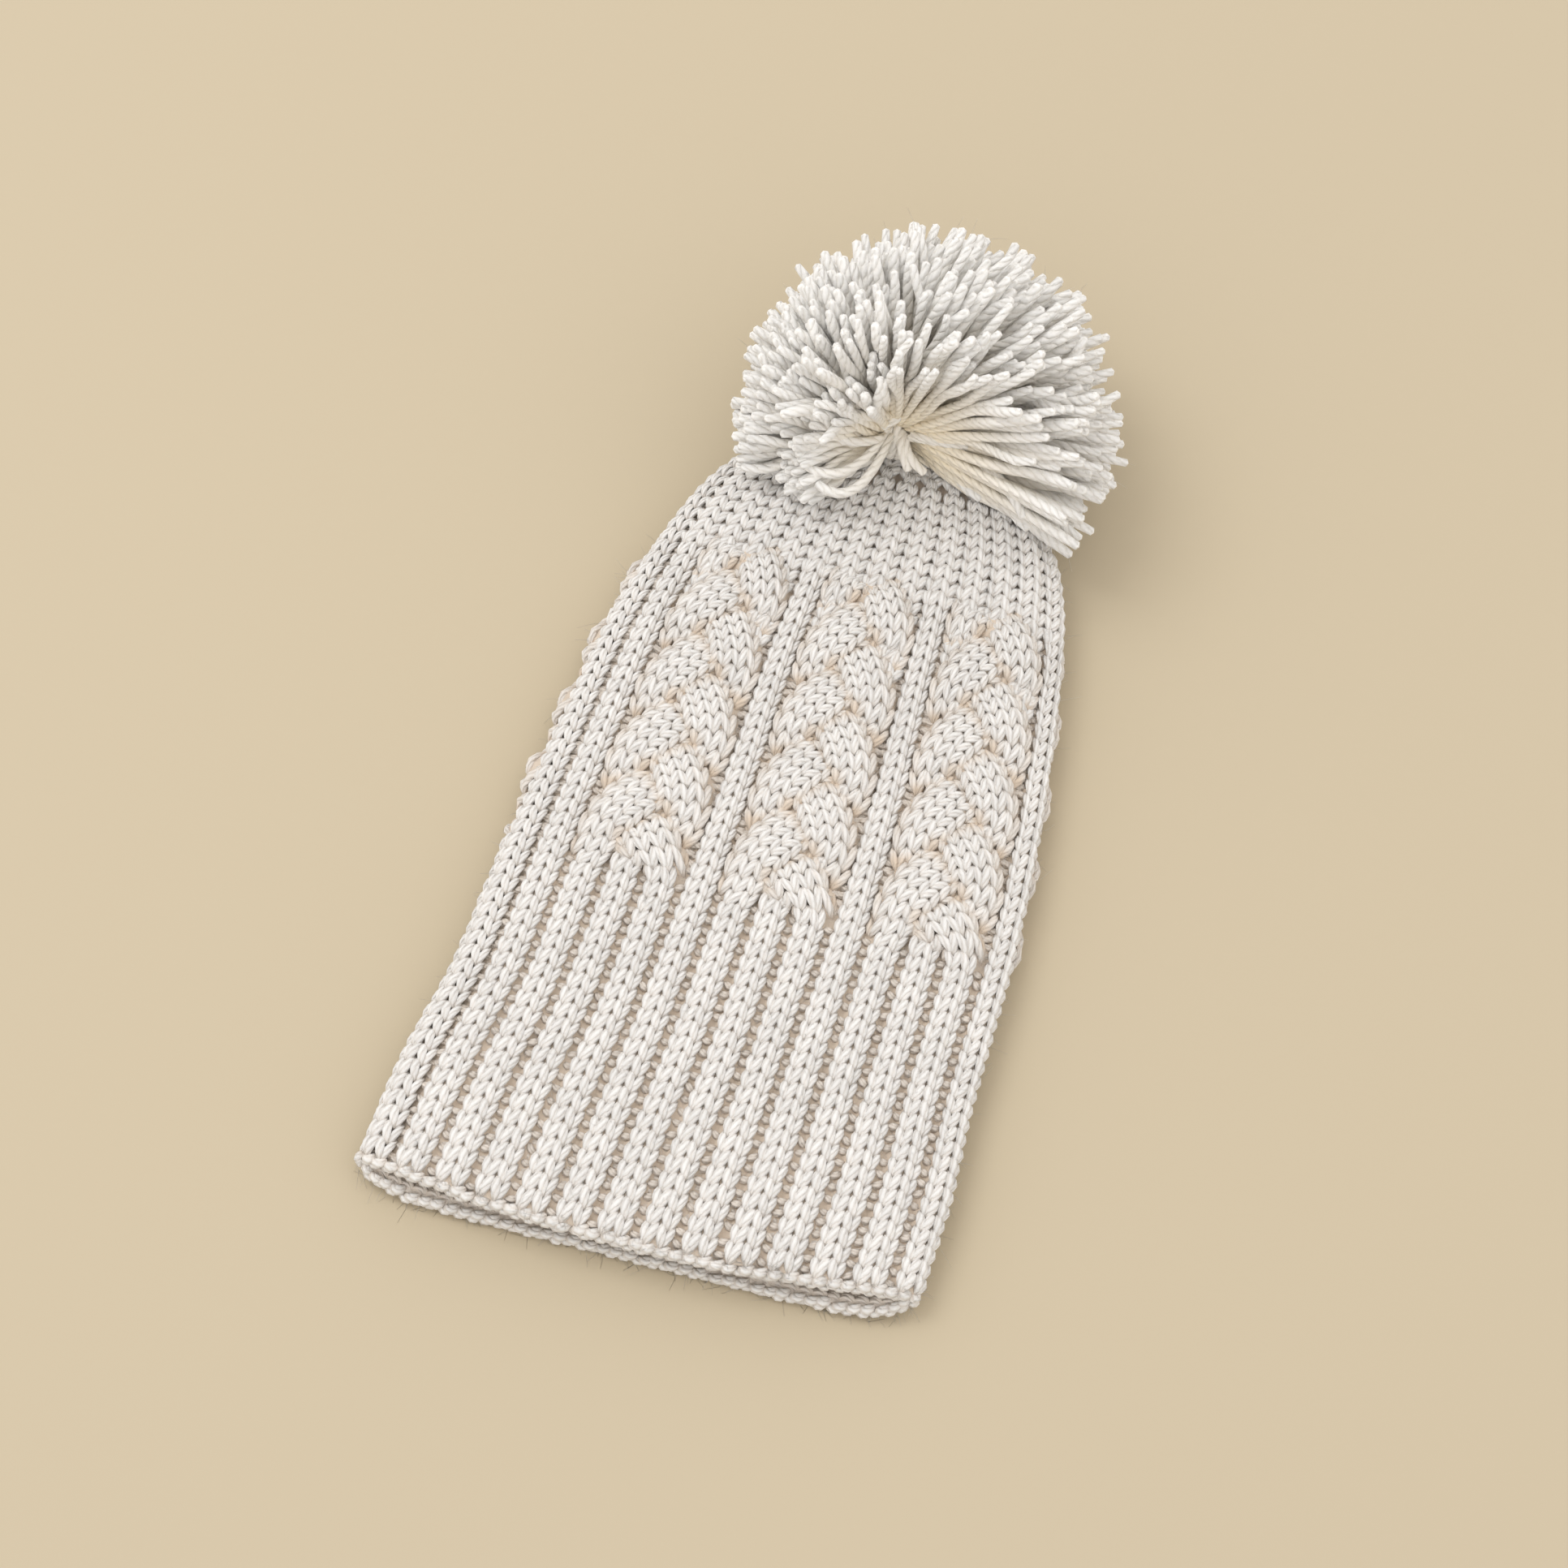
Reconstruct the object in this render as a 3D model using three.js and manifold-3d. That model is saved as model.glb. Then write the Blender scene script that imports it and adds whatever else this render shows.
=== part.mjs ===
// A cable knit beanie with a big yarn pompom, lying flat on the floor as a knitted tube with an open mouth.
// Lengths are millimetres. The mouth is at -Y, the pompom at +Y, and the floor is z = 0.
import * as THREE from 'three';
import Module from 'manifold-3d';
import { mergeVertices } from 'three/addons/utils/BufferGeometryUtils.js';

const wasm = await Module();
wasm.setup();

// The flattened tube
const flatWidth = 192; // fold to fold at the mouth
const brimLength = 118; // mouth to the first cable crossing
const crownLength = 182; // first cable crossing to the gathered tip
const bodyHeight = 17.5; // floor to the top of the fabric between its ridges
const knitWall = 3; // fabric between its ridges
const backLip = 8; // how far the under layer's corners would reach past the upper layer at the mouth
const mouthSlant = 0.04; // rise of the mouth from its left to its right, as a share of the way across
const seamGap = 0.3; // clearance between two pieces that meet

// The knit
const cables = 7; // cables round the crown
const ribsPerCable = 4; // ribs of the brim that run into one cable and the rib beside it
const cableShift = 0.15; // middle cable right of the middle, as a share of one cable repeat
const foldShift = 0.045; // share of the girth by which the cable at the left fold lies further under
const ribRise = 2.2; // rib above its grooves
const cableRise = 5.4; // top strand of a cable above the grooves
const restRise = 1.6; // fabric ground above the floor where the ridges are pressed flat
const lobePitch = 27.5; // one lobe of a cable along the crown
const cabledLength = 122; // length of the crown that is cabled, before the decreases

// The pompom
const pompomRadius = 67.5; // ball on which the strands' cut ends lie
const ballRight = 11; // middle of the ball to the right of the tie
const ballAhead = 7; // middle of the ball beyond the tie
const ballAbove = 2; // middle of the ball above the tie
const floorPress = 7; // how far the ball's lowest locks are flattened on the floor
const tieHeight = 38.5; // tie above the floor
const tieInset = 7; // tie short of the crown's tip
const lockGirth = 13; // radius of a lock at its widest
const partingAngle = 54; // half the opening of the parting over the tie, in degrees
const lockCount = 39;
const waistRadius = 6.5; // strands bound by the tie
const tieYarn = 3.2; // thickness of the tie's yarn
const tieTail = 9; // cut end of the tie
const tieWraps = 2;

// Sections of the tube from the mouth to the first cable. Along is a share of brimLength, left and right
// are shares of half the flat width, height is a share of bodyHeight, and lift raises the underside by it.
const brimSections = [
  { along: 0.0, left: 1.03, right: 0.935, height: 0.97, lift: 0 },
  { along: 0.28, left: 1.01, right: 0.94, height: 1.0, lift: 0 },
  { along: 0.62, left: 0.95, right: 0.918, height: 1.0, lift: 0 },
  { along: 1.0, left: 0.93, right: 0.913, height: 1.04, lift: 0 },
];
// Sections from there to the tip, with along as a share of crownLength.
const crownSections = [
  { along: 0.22, left: 0.9, right: 0.885, height: 1.1, lift: 0 },
  { along: 0.45, left: 0.86, right: 0.83, height: 1.16, lift: 0 },
  { along: 0.64, left: 0.785, right: 0.765, height: 1.26, lift: 0 },
  { along: 0.79, left: 0.69, right: 0.685, height: 1.38, lift: 0.02 },
  { along: 0.89, left: 0.56, right: 0.57, height: 1.46, lift: 0.08 },
  { along: 0.955, left: 0.4, right: 0.41, height: 1.48, lift: 0.25 },
  { along: 0.988, left: 0.24, right: 0.2, height: 1.44, lift: 0.6 },
  { along: 1.0, left: 0.085, right: 0.005, height: 1.38, lift: 1.15 },
];

const foldPower = 8; // roundness of the folds: higher is squarer
const doming = 0.12; // share of the height by which the upper layer is domed
const foldLevel = 0.45; // height of the folds as a share of the section's height
const denseSteps = 144; // chords that measure a section's girth

// Each row of the tables as real lengths, with its distance along the fold.
const sections = [
  ...brimSections.map((row) => ({ ...row, y: row.along * brimLength })),
  ...crownSections.map((row) => ({ ...row, y: brimLength + row.along * crownLength })),
].map((row) => ({
  y: row.y,
  left: (row.left * flatWidth) / 2,
  right: (row.right * flatWidth) / 2,
  top: row.height * bodyHeight,
  bottom: restRise + row.lift * bodyHeight,
}));
sections[0].distance = 0;
for (let i = 1; i < sections.length; i += 1) {
  const [a, b] = [sections[i - 1], sections[i]];
  b.distance = a.distance + Math.hypot(b.y - a.y, (b.left + b.right - a.left - a.right) / 2);
}
const brimDistance = sections[brimSections.length - 1].distance;
const tipDistance = sections[sections.length - 1].distance;

// Slopes of one column of the sections, none steeper than its neighbours allow, so that nothing overshoots.
function slopes(column) {
  const steep = (i) => (sections[i + 1][column] - sections[i][column])
    / (sections[i + 1].distance - sections[i].distance);
  return sections.map((_, i) => {
    if (i === 0) return steep(0);
    if (i === sections.length - 1) return steep(i - 1);
    const [before, after] = [steep(i - 1), steep(i)];
    return before * after > 0 ? (2 * before * after) / (before + after) : 0;
  });
}
const columns = ['y', 'left', 'right', 'top', 'bottom'];
const slopeOf = Object.fromEntries(columns.map((column) => [column, slopes(column)]));

// One column of the sections at a distance along the fold, as a smooth curve through the rows.
function sized(column, distance) {
  const last = sections.length - 2;
  const found = sections.findIndex((row, i) => i <= last && distance < sections[i + 1].distance);
  const i = found < 0 ? last : found;
  const [a, b] = [sections[i], sections[i + 1]];
  const span = b.distance - a.distance;
  const s = (distance - a.distance) / span;
  const near = (1 + 2 * s) * (1 - s) * (1 - s);
  const leave = s * (1 - s) * (1 - s) * span;
  const arrive = s * s * (s - 1) * span;
  return near * a[column] + (1 - near) * b[column]
    + leave * slopeOf[column][i] + arrive * slopeOf[column][i + 1];
}

// A closed cross-section of the tube, read by its share of the girth. Share 0 is the middle of the upper
// layer, and the share grows towards +X. The upper layer is a little domed and the under layer is flat.
class Section {
  constructor(distance) {
    const [left, right, top, bottom] = ['left', 'right', 'top', 'bottom'].map((c) => sized(c, distance));
    const y = sized('y', distance);
    const fold = bottom + (top - bottom) * foldLevel;
    const half = (left + right) / 2;
    const open = Math.max(0, 1 - distance / brimLength) ** 2;
    this.points = [];
    this.reached = [0];
    for (let i = 0; i <= denseSteps; i += 1) {
      const angle = Math.PI / 2 - (2 * Math.PI * i) / denseSteps;
      const across = Math.cos(angle);
      const round = Math.sqrt(Math.max(0, 1 - Math.abs(across) ** foldPower));
      const upper = Math.sin(angle) >= 0;
      const rise = upper ? (top - fold) * (1 - doming * across * across) : fold - bottom;
      const z = fold + (upper ? rise : -rise) * round;
      const under = upper ? 0 : across ** 2 * (1 - across ** 8);
      const x = (right - left) / 2 + half * across;
      this.points.push(new THREE.Vector3(x, y + (mouthSlant * x - backLip * under) * open, z));
      if (i > 0) this.reached.push(this.reached[i - 1] + this.points[i].distanceTo(this.points[i - 1]));
    }
  }

  at(share) {
    const wanted = (share - Math.floor(share)) * this.reached[denseSteps];
    let low = 0;
    let high = denseSteps;
    while (high - low > 1) {
      const middle = (low + high) >> 1;
      if (this.reached[middle] <= wanted) low = middle;
      else high = middle;
    }
    const part = (wanted - this.reached[low]) / (this.reached[high] - this.reached[low]);
    return this.points[low].clone().lerp(this.points[high], part);
  }
}

const kept = new Map();
function section(distance) {
  const key = distance.toFixed(4);
  if (!kept.has(key)) kept.set(key, new Section(distance));
  return kept.get(key);
}

const girthStep = 0.004;
const alongStep = 0.8;

// A point of the fabric, moved out along its own normal and kept above the floor.
function fabric(share, distance, out) {
  const ahead = Math.min(distance + alongStep, tipDistance);
  const behind = Math.max(distance - alongStep, 0);
  const round = section(distance).at(share + girthStep).sub(section(distance).at(share - girthStep));
  const along = section(ahead).at(share).sub(section(behind).at(share));
  const normal = round.cross(along).normalize();
  const point = section(distance).at(share).addScaledVector(normal, out);
  point.z = Math.max(point.z, 0);
  return point;
}

// Smooth step from 0 to 1 between two values.
const ease = (from, to, value) => {
  const s = Math.min(1, Math.max(0, (value - from) / (to - from)));
  return s * s * (3 - 2 * s);
};

// Places across one repeat, in shares of it: three strands of four stitches, then a purl, a rib and a purl.
const strandPlaces = [0.125, 0.375, 0.625];
const cableMiddle = 0.375;
const ribMiddle = 0.875;
const ribHalf = 0.115; // a rib of two stitches, to the foot of its side
const strandHalf = 0.185; // a strand of four stitches, to the foot of its side
const strandSwing = 0.19; // how far a strand swings from the middle of its cable
const repeatWidth = (2 * flatWidth) / cables; // girth taken by a cable and the rib beside it
const strandDip = 0.72; // how far a strand passes under the others, as a share of cableRise
const cableStart = brimDistance;
const cableEnd = brimDistance + cabledLength;

// Round profile of a ridge: 1 on its crest and 0 from its foot outwards.
const ridge = (from, half) => Math.sqrt(Math.max(0, 1 - (from / half) ** 2));

// Height of the plait. Strand k swings as the sine of its phase and dips as the sine of twice its phase.
// So each strand lies on top while it comes back from an edge to the middle. A leaning strand is cut wider.
function plait(place, distance) {
  const phase = (2 * Math.PI * (distance - cableStart)) / (3 * lobePitch);
  const heights = [0, 1, 2].map((k) => {
    const turn = phase + (2 * Math.PI * k) / 3;
    const middle = cableMiddle + strandSwing * Math.sin(turn);
    const lean = (strandSwing * repeatWidth * Math.cos(turn) * 2 * Math.PI) / (3 * lobePitch);
    const level = cableRise * (1 - strandDip * (1 + Math.sin(2 * turn)) / 2);
    return level * ridge(place - middle, strandHalf * Math.hypot(1, lean));
  });
  return Math.max(0, ...heights);
}

// Height of the knit over its grooves at a place across one repeat.
function relief(place, distance) {
  const cabled = ease(cableStart - lobePitch / 4, cableStart + lobePitch / 3, distance)
    * (1 - ease(cableEnd - lobePitch / 3, cableEnd + lobePitch / 4, distance));
  const fade = 1 - 0.8 * ease(cableEnd, tipDistance, distance);
  const ribs = [...strandPlaces, ribMiddle].map((middle) => ridge(place - middle, ribHalf));
  const straight = ribRise * Math.max(...ribs) * fade;
  const plaited = Math.max(plait(place, distance), ribRise * ridge(place - ribMiddle, ribHalf));
  return straight + (plaited - straight) * cabled;
}

// The left fold pulls its cable under and leaves a wide purl stretch in sight. The stretch lies between two
// shares of the girth, and the cables under the beanie close up between two others.
const stretched = [0.765, 0.81];
const closedUp = [0.36, 0.6];
function pulledUnder(share) {
  const turn = share - Math.floor(share);
  return share - foldShift * ease(...closedUp, turn) * (1 - ease(...stretched, turn));
}

// Shares of the girth for a list of places across one repeat, all the way round.
function roundShares(places) {
  const shares = [];
  for (let cable = 0; cable < cables; cable += 1) {
    const start = cable + cableShift - cableMiddle;
    places.forEach((place) => shares.push({ place, share: pulledUnder((start + place) / cables) }));
  }
  return shares;
}

// One closed row of points round the tube: on the knit, or at a plain distance from the fabric's face.
function knitRow(shares, distance) {
  return shares.map(({ place, share }) => fabric(share, distance, relief(place, distance)));
}

function plainRow(shares, distance, out) {
  return shares.map(({ share }) => fabric(share, distance, out));
}

// Evenly spaced values with both ends.
function steps(from, to, count) {
  return Array.from({ length: count + 1 }, (_, i) => from + ((to - from) * i) / count);
}

// A closed surface through rows of points. It ends in two poles, or joins its last row to its first.
// Each square between two rows is split along its shorter diagonal, so that the edges follow the ridges.
function closedSurface(rows, poles) {
  const count = rows[0].length;
  const points = rows.flat();
  const faces = [];
  const strip = (a, b) => {
    for (let i = 0; i < count; i += 1) {
      const j = (i + 1) % count;
      const [p, q, r, s] = [a * count + i, a * count + j, b * count + j, b * count + i];
      const rising = points[p].distanceTo(points[r]) <= points[q].distanceTo(points[s]);
      faces.push(...(rising ? [p, q, r, p, r, s] : [p, q, s, q, r, s]));
    }
  };
  for (let row = 0; row + 1 < rows.length; row += 1) strip(row, row + 1);
  if (poles) {
    const [first, last] = [points.length, points.length + 1];
    points.push(...poles);
    const end = (rows.length - 1) * count;
    for (let i = 0; i < count; i += 1) {
      const j = (i + 1) % count;
      faces.push(first, j, i, last, end + i, end + j);
    }
  } else {
    strip(rows.length - 1, 0);
  }
  const geometry = new THREE.BufferGeometry().setFromPoints(points);
  geometry.setIndex(faces);
  return geometry;
}

function mean(points) {
  const sum = points.reduce((all, point) => all.add(point), new THREE.Vector3());
  return sum.divideScalar(points.length);
}

const ribCrest = 0.065; // edges of a rib's crest from its middle, as a share of one repeat
const ribFoot = 0.112; // edges of its foot
const brimRows = 5;
const brimInnerRows = 2;

// The ribbed band: the knitted face from the mouth up, then the inner face back down.
function brimShape() {
  const offsets = [-ribFoot, -ribCrest, ribCrest, ribFoot];
  const middles = Array.from({ length: ribsPerCable }, (_, i) => (i + 0.5) / ribsPerCable);
  const shares = roundShares(middles.flatMap((middle) => offsets.map((offset) => middle + offset)));
  const end = brimDistance - seamGap / 2;
  const outer = steps(0, end, brimRows).map((distance) => knitRow(shares, distance));
  const inner = steps(end, 0, brimInnerRows).map((distance) => plainRow(shares, distance, -knitWall));
  return closedSurface([...outer, ...inner]);
}

// Places across one repeat of the crown where the surface has an edge.
const crownPlaces = [
  0.005, 0.06, 0.13, 0.21, 0.29, 0.375, 0.46, 0.54, 0.62, 0.69, 0.745, 0.78, 0.82, 0.93, 0.97,
];
const lobeRows = 4; // rows along one lobe
const plainRows = 6; // rows above the cables
const crownInnerRows = 4;
const innerEnd = 0.93; // where the inner face closes, as a share of the way from the band to the tip

// The cabled crown: from its closed inner end down to the band, then up the knitted face to the tip.
function crownShape() {
  const shares = roundShares(crownPlaces);
  const start = brimDistance + seamGap / 2;
  const innerTop = start + (tipDistance - start) * innerEnd;
  const innerSteps = steps(innerTop, start, crownInnerRows);
  const inner = innerSteps.map((distance) => plainRow(shares, distance, -knitWall));
  const cabled = steps(start, cableEnd, Math.round((lobeRows * cabledLength) / lobePitch));
  const plain = steps(cableEnd, tipDistance, plainRows).slice(1);
  const outer = [...cabled, ...plain].map((distance) => knitRow(shares, distance));
  const innerPole = mean(inner[0]);
  innerPole.y += knitWall;
  return closedSurface([...inner, ...outer], [innerPole, mean(outer[outer.length - 1])]);
}

function solid(geometry) {
  const shape = new THREE.BufferGeometry();
  shape.setAttribute('position', geometry.getAttribute('position').clone());
  shape.setIndex(geometry.getIndex() ? geometry.getIndex().clone() : null);
  const merged = mergeVertices(shape, 1e-4);
  return new wasm.Manifold(new wasm.Mesh({
    numProp: 3,
    vertProperties: new Float32Array(merged.getAttribute('position').array),
    triVerts: new Uint32Array(merged.getIndex().array),
  }));
}

function surface(body) {
  const mesh = body.getMesh();
  const geometry = new THREE.BufferGeometry();
  geometry.setAttribute('position', new THREE.Float32BufferAttribute(mesh.vertProperties, 3));
  geometry.setIndex([...mesh.triVerts]);
  return geometry;
}

// The tie: yarn wound round the waist of the bundle, in the plane of the parting.
const wrapPitch = tieYarn * 0.9; // wraps press into each other
const tieSides = 5;
const ringSides = 10;
const endSpread = 0.5; // how far the two cut ends lean apart
const endLean = 0.35; // how far both lean to one side
const tip = section(tipDistance).at(0);
const tiePoint = new THREE.Vector3(tip.x, tip.y - tieInset, tieHeight);
const partingWay = new THREE.Vector3(0.26, -0.87, 0.42).normalize();
const ballShift = new THREE.Vector3(ballRight, ballAhead, ballAbove);
const bundleWay = new THREE.Vector3(0, partingWay.z, -partingWay.y).cross(partingWay).normalize();
const ringWay = new THREE.Vector3().crossVectors(partingWay, bundleWay);
const ringRadius = waistRadius + seamGap + tieYarn / 2;

// Turns a shape made round the Z axis so that Z becomes the given way, and puts it at a point.
function placed(geometry, way, point) {
  const turn = new THREE.Quaternion().setFromUnitVectors(new THREE.Vector3(0, 0, 1), way);
  return geometry.applyQuaternion(turn).translate(point.x, point.y, point.z);
}

function tieRing(yarnRadius) {
  const rings = Array.from({ length: tieWraps }, (_, i) => {
    const point = tiePoint.clone().addScaledVector(bundleWay, (i - (tieWraps - 1) / 2) * wrapPitch);
    const shape = new THREE.TorusGeometry(ringRadius, yarnRadius, tieSides, ringSides);
    return solid(placed(shape, bundleWay, point));
  });
  return rings.reduce((joined, ring) => joined.add(ring));
}

// A cut end of the tie, standing out of its knot towards the parting.
function tieEnd(side, yarnRadius, length) {
  const way = partingWay.clone()
    .addScaledVector(bundleWay, endSpread * side)
    .addScaledVector(ringWay, endLean)
    .normalize();
  const root = tiePoint.clone().addScaledVector(partingWay, ringRadius);
  const shape = new THREE.CylinderGeometry(yarnRadius * 0.8, yarnRadius, length, tieSides)
    .rotateX(Math.PI / 2);
  return solid(placed(shape, way, root.addScaledVector(way, length / 2)));
}

function tieSolid(grown) {
  const yarnRadius = tieYarn / 2 + grown;
  const length = tieTail + grown;
  return tieRing(yarnRadius).add(tieEnd(1, yarnRadius, length)).add(tieEnd(-1, yarnRadius, length));
}

// One lock: a spindle that leaves the tie thin, swells and ends in a blunt tip.
const lockProfile = [
  { along: 0.52, girth: 0.72 },
  { along: 0.85, girth: 1.0 },
  { along: 0.97, girth: 0.64 },
];
const lockSides = 5;
const coreShare = 0.7; // the packed inside of the ball, as a share of the whole
const reachLeast = 0.93; // shortest lock, as a share of the way to the ball
const reachSpread = 0.08;
const girthLeast = 0.85; // thinnest lock, as a share of lockGirth
const girthSpread = 0.3;
const fullTurn = 2 * Math.PI;

function lock(way, reach, girth, twist) {
  const side = new THREE.Vector3(0.3, 0.5, 0.8).cross(way).normalize();
  const other = new THREE.Vector3().crossVectors(way, side);
  const rows = lockProfile.map((row) => Array.from({ length: lockSides }, (_, i) => {
    const angle = twist + (fullTurn * i) / lockSides;
    return way.clone().multiplyScalar(row.along * reach)
      .addScaledVector(side, girth * row.girth * Math.cos(angle))
      .addScaledVector(other, girth * row.girth * Math.sin(angle));
  }));
  const root = way.clone().multiplyScalar(reach * lockProfile[0].along * 0.9);
  return closedSurface(rows, [root, way.clone().multiplyScalar(reach)]);
}

const floorSpread = 0.1; // how much wider the ball's lowest part is for being squashed

// Below the tie the ball is squashed to the floor and spreads a little.
function squash(geometry) {
  const position = geometry.getAttribute('position');
  for (let i = 0; i < position.count; i += 1) {
    const z = position.getZ(i);
    if (z < 0) {
      const deep = Math.min(1, -z / pompomRadius);
      const spread = 1 + floorSpread * deep;
      const sunk = (z * (tieHeight + floorPress)) / pompomRadius;
      position.setXYZ(i, position.getX(i) * spread, position.getY(i) * spread, sunk);
    }
  }
  return geometry;
}

// A repeatable value from 0 to 1 for each lock and purpose.
const scatter = (index, purpose) => {
  const value = Math.sin(index * 12.9898 + purpose * 78.233) * 43758.5453;
  return value - Math.floor(value);
};

function locks() {
  const turn = Math.PI * (3 - Math.sqrt(5));
  const open = Math.cos((partingAngle * Math.PI) / 180);
  const made = [];
  for (let i = 0; i < lockCount; i += 1) {
    const level = open - ((open + 1) * (i + 0.5)) / lockCount;
    const flat = Math.sqrt(1 - level * level);
    const angle = i * turn;
    const way = new THREE.Vector3()
      .addScaledVector(bundleWay, flat * Math.cos(angle))
      .addScaledVector(ringWay, flat * Math.sin(angle))
      .addScaledVector(partingWay, level)
      .normalize();
    const ahead = way.dot(ballShift);
    const toBall = ahead + Math.sqrt(ahead ** 2 + pompomRadius ** 2 - ballShift.lengthSq());
    const reach = toBall * (reachLeast + reachSpread * scatter(i, 1));
    const girth = lockGirth * (girthLeast + girthSpread * scatter(i, 2));
    const shape = squash(lock(way, reach, girth, fullTurn * scatter(i, 3)));
    made.push(solid(shape.translate(tiePoint.x, tiePoint.y, tiePoint.z)));
  }
  return made;
}

const spaceSides = 48;
const spaceRows = 20;

// The space that the crown takes, with its clearance, as a filled smooth form.
function crownSpace() {
  const shares = steps(0, 1, spaceSides).slice(1).map((share) => ({ share }));
  const rows = steps(brimDistance, tipDistance, spaceRows).map((distance) => {
    const out = cableRise + (ribRise - cableRise) * ease(cableEnd, cableEnd + lobePitch / 2, distance);
    return plainRow(shares, distance, out + 2 * seamGap);
  });
  return solid(closedSurface(rows, [mean(rows[0]), mean(rows[rows.length - 1])]));
}

// The head itself, without the slivers of locks that a cut leaves loose.
function headOf(body) {
  const bodies = body.decompose();
  return bodies.reduce((most, next) => (next.volume() > most.volume() ? next : most));
}

// The packed inside of the ball, round which the locks stand.
function coreSolid() {
  const middle = ballShift.clone().multiplyScalar(coreShare);
  const shape = new THREE.IcosahedronGeometry(pompomRadius * coreShare, 1)
    .translate(middle.x, middle.y, middle.z);
  return solid(squash(shape).translate(tiePoint.x, tiePoint.y, tiePoint.z));
}

const partingSides = 14;

// The parting: a cone that opens from the tie.
function partingSolid() {
  const depth = 1.4 * pompomRadius;
  const mouth = depth * Math.tan((partingAngle * Math.PI) / 180);
  const shape = new THREE.ConeGeometry(mouth, depth, partingSides)
    .rotateX(-Math.PI / 2)
    .translate(0, 0, depth / 2);
  return solid(placed(shape, partingWay, tiePoint.clone().addScaledVector(partingWay, waistRadius / 2)));
}

function pompomShape() {
  const wide = 6 * pompomRadius;
  const floor = solid(new THREE.BoxGeometry(wide, wide, pompomRadius)
    .translate(tiePoint.x, tiePoint.y, -pompomRadius / 2));
  const ball = locks().reduce((joined, next) => joined.add(next), coreSolid());
  const free = ball.subtract(partingSolid()).subtract(floor);
  return surface(headOf(free.subtract(crownSpace()).subtract(tieSolid(seamGap))));
}

const wool = (colour) => new THREE.MeshStandardMaterial({ color: colour, roughness: 0.95, metalness: 0 });

const pieces = [
  { name: 'brim', shape: brimShape(), material: wool(0xe6ded2) },
  { name: 'crown', shape: crownShape(), material: wool(0xe8dfd0) },
  { name: 'pompom', shape: pompomShape(), material: wool(0xefebe4) },
  { name: 'pompom_tie', shape: surface(tieSolid(0)), material: wool(0xe9e2d6) },
];

const beanie = new THREE.Group();
pieces.forEach(({ name, shape, material }) => {
  shape.computeVertexNormals();
  const mesh = new THREE.Mesh(shape, material);
  mesh.name = name;
  beanie.add(mesh);
});

// The origin is under the middle of the whole beanie.
const box = new THREE.Box3().setFromObject(beanie);
beanie.position.set(-(box.min.x + box.max.x) / 2, -(box.min.y + box.max.y) / 2, 0);

export default beanie;
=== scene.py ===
"""A cable knit beanie with a big yarn pompom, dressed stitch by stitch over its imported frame.

Lengths are metres. The mouth is at -Y, the pompom at +Y, and the floor is z = 0.
A place on the knit is given by its share of the girth and its distance along the fold from the mouth.
"""
import math

import bpy
import numpy as np
from bpy.props import FloatProperty, FloatVectorProperty, IntProperty, PointerProperty
from mathutils import Matrix, Vector


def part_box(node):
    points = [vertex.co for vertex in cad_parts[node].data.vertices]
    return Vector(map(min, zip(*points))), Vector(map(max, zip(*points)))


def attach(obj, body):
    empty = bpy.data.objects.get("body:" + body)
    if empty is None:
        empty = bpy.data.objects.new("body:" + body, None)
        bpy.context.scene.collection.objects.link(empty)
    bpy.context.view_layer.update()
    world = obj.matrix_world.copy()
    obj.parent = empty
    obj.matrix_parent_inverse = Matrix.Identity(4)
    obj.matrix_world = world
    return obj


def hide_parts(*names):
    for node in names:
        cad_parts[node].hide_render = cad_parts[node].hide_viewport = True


bl_info = {
    "name": "Cable Knit Beanie",
    "version": (1, 0, 0),
    "blender": (4, 5, 0),
    "location": "View3D > Sidebar > Beanie",
    "description": "Knits a cabled beanie with a yarn pompom over its frame",
    "category": "Object",
}

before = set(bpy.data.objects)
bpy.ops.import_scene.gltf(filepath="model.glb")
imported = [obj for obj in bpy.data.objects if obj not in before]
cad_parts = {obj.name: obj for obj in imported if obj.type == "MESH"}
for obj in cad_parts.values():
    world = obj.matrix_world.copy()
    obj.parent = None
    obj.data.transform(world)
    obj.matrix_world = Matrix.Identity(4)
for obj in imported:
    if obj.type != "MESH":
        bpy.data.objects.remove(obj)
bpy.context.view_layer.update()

MM = 0.001

# The flattened tube. Its sizes and sections are the frame's, apart from the mouth's sag.
FLAT_WIDTH = 192 * MM
BRIM_LENGTH = 118 * MM
CROWN_LENGTH = 182 * MM
BODY_HEIGHT = 17.5 * MM
BACK_LIP = 8 * MM  # how far the under layer shows past the mouth
MOUTH_SLANT = 0.04  # rise of the mouth from its left to its right, as a share of the way across
MOUTH_SAG = 8 * MM  # how far the mouth's middle hangs past its corners
REST_RISE = 1.6 * MM
FOLD_POWER = 8
DOMING = 0.12
FOLD_LEVEL = 0.45
FLOOR_CLEARANCE = 0.15 * MM

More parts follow.
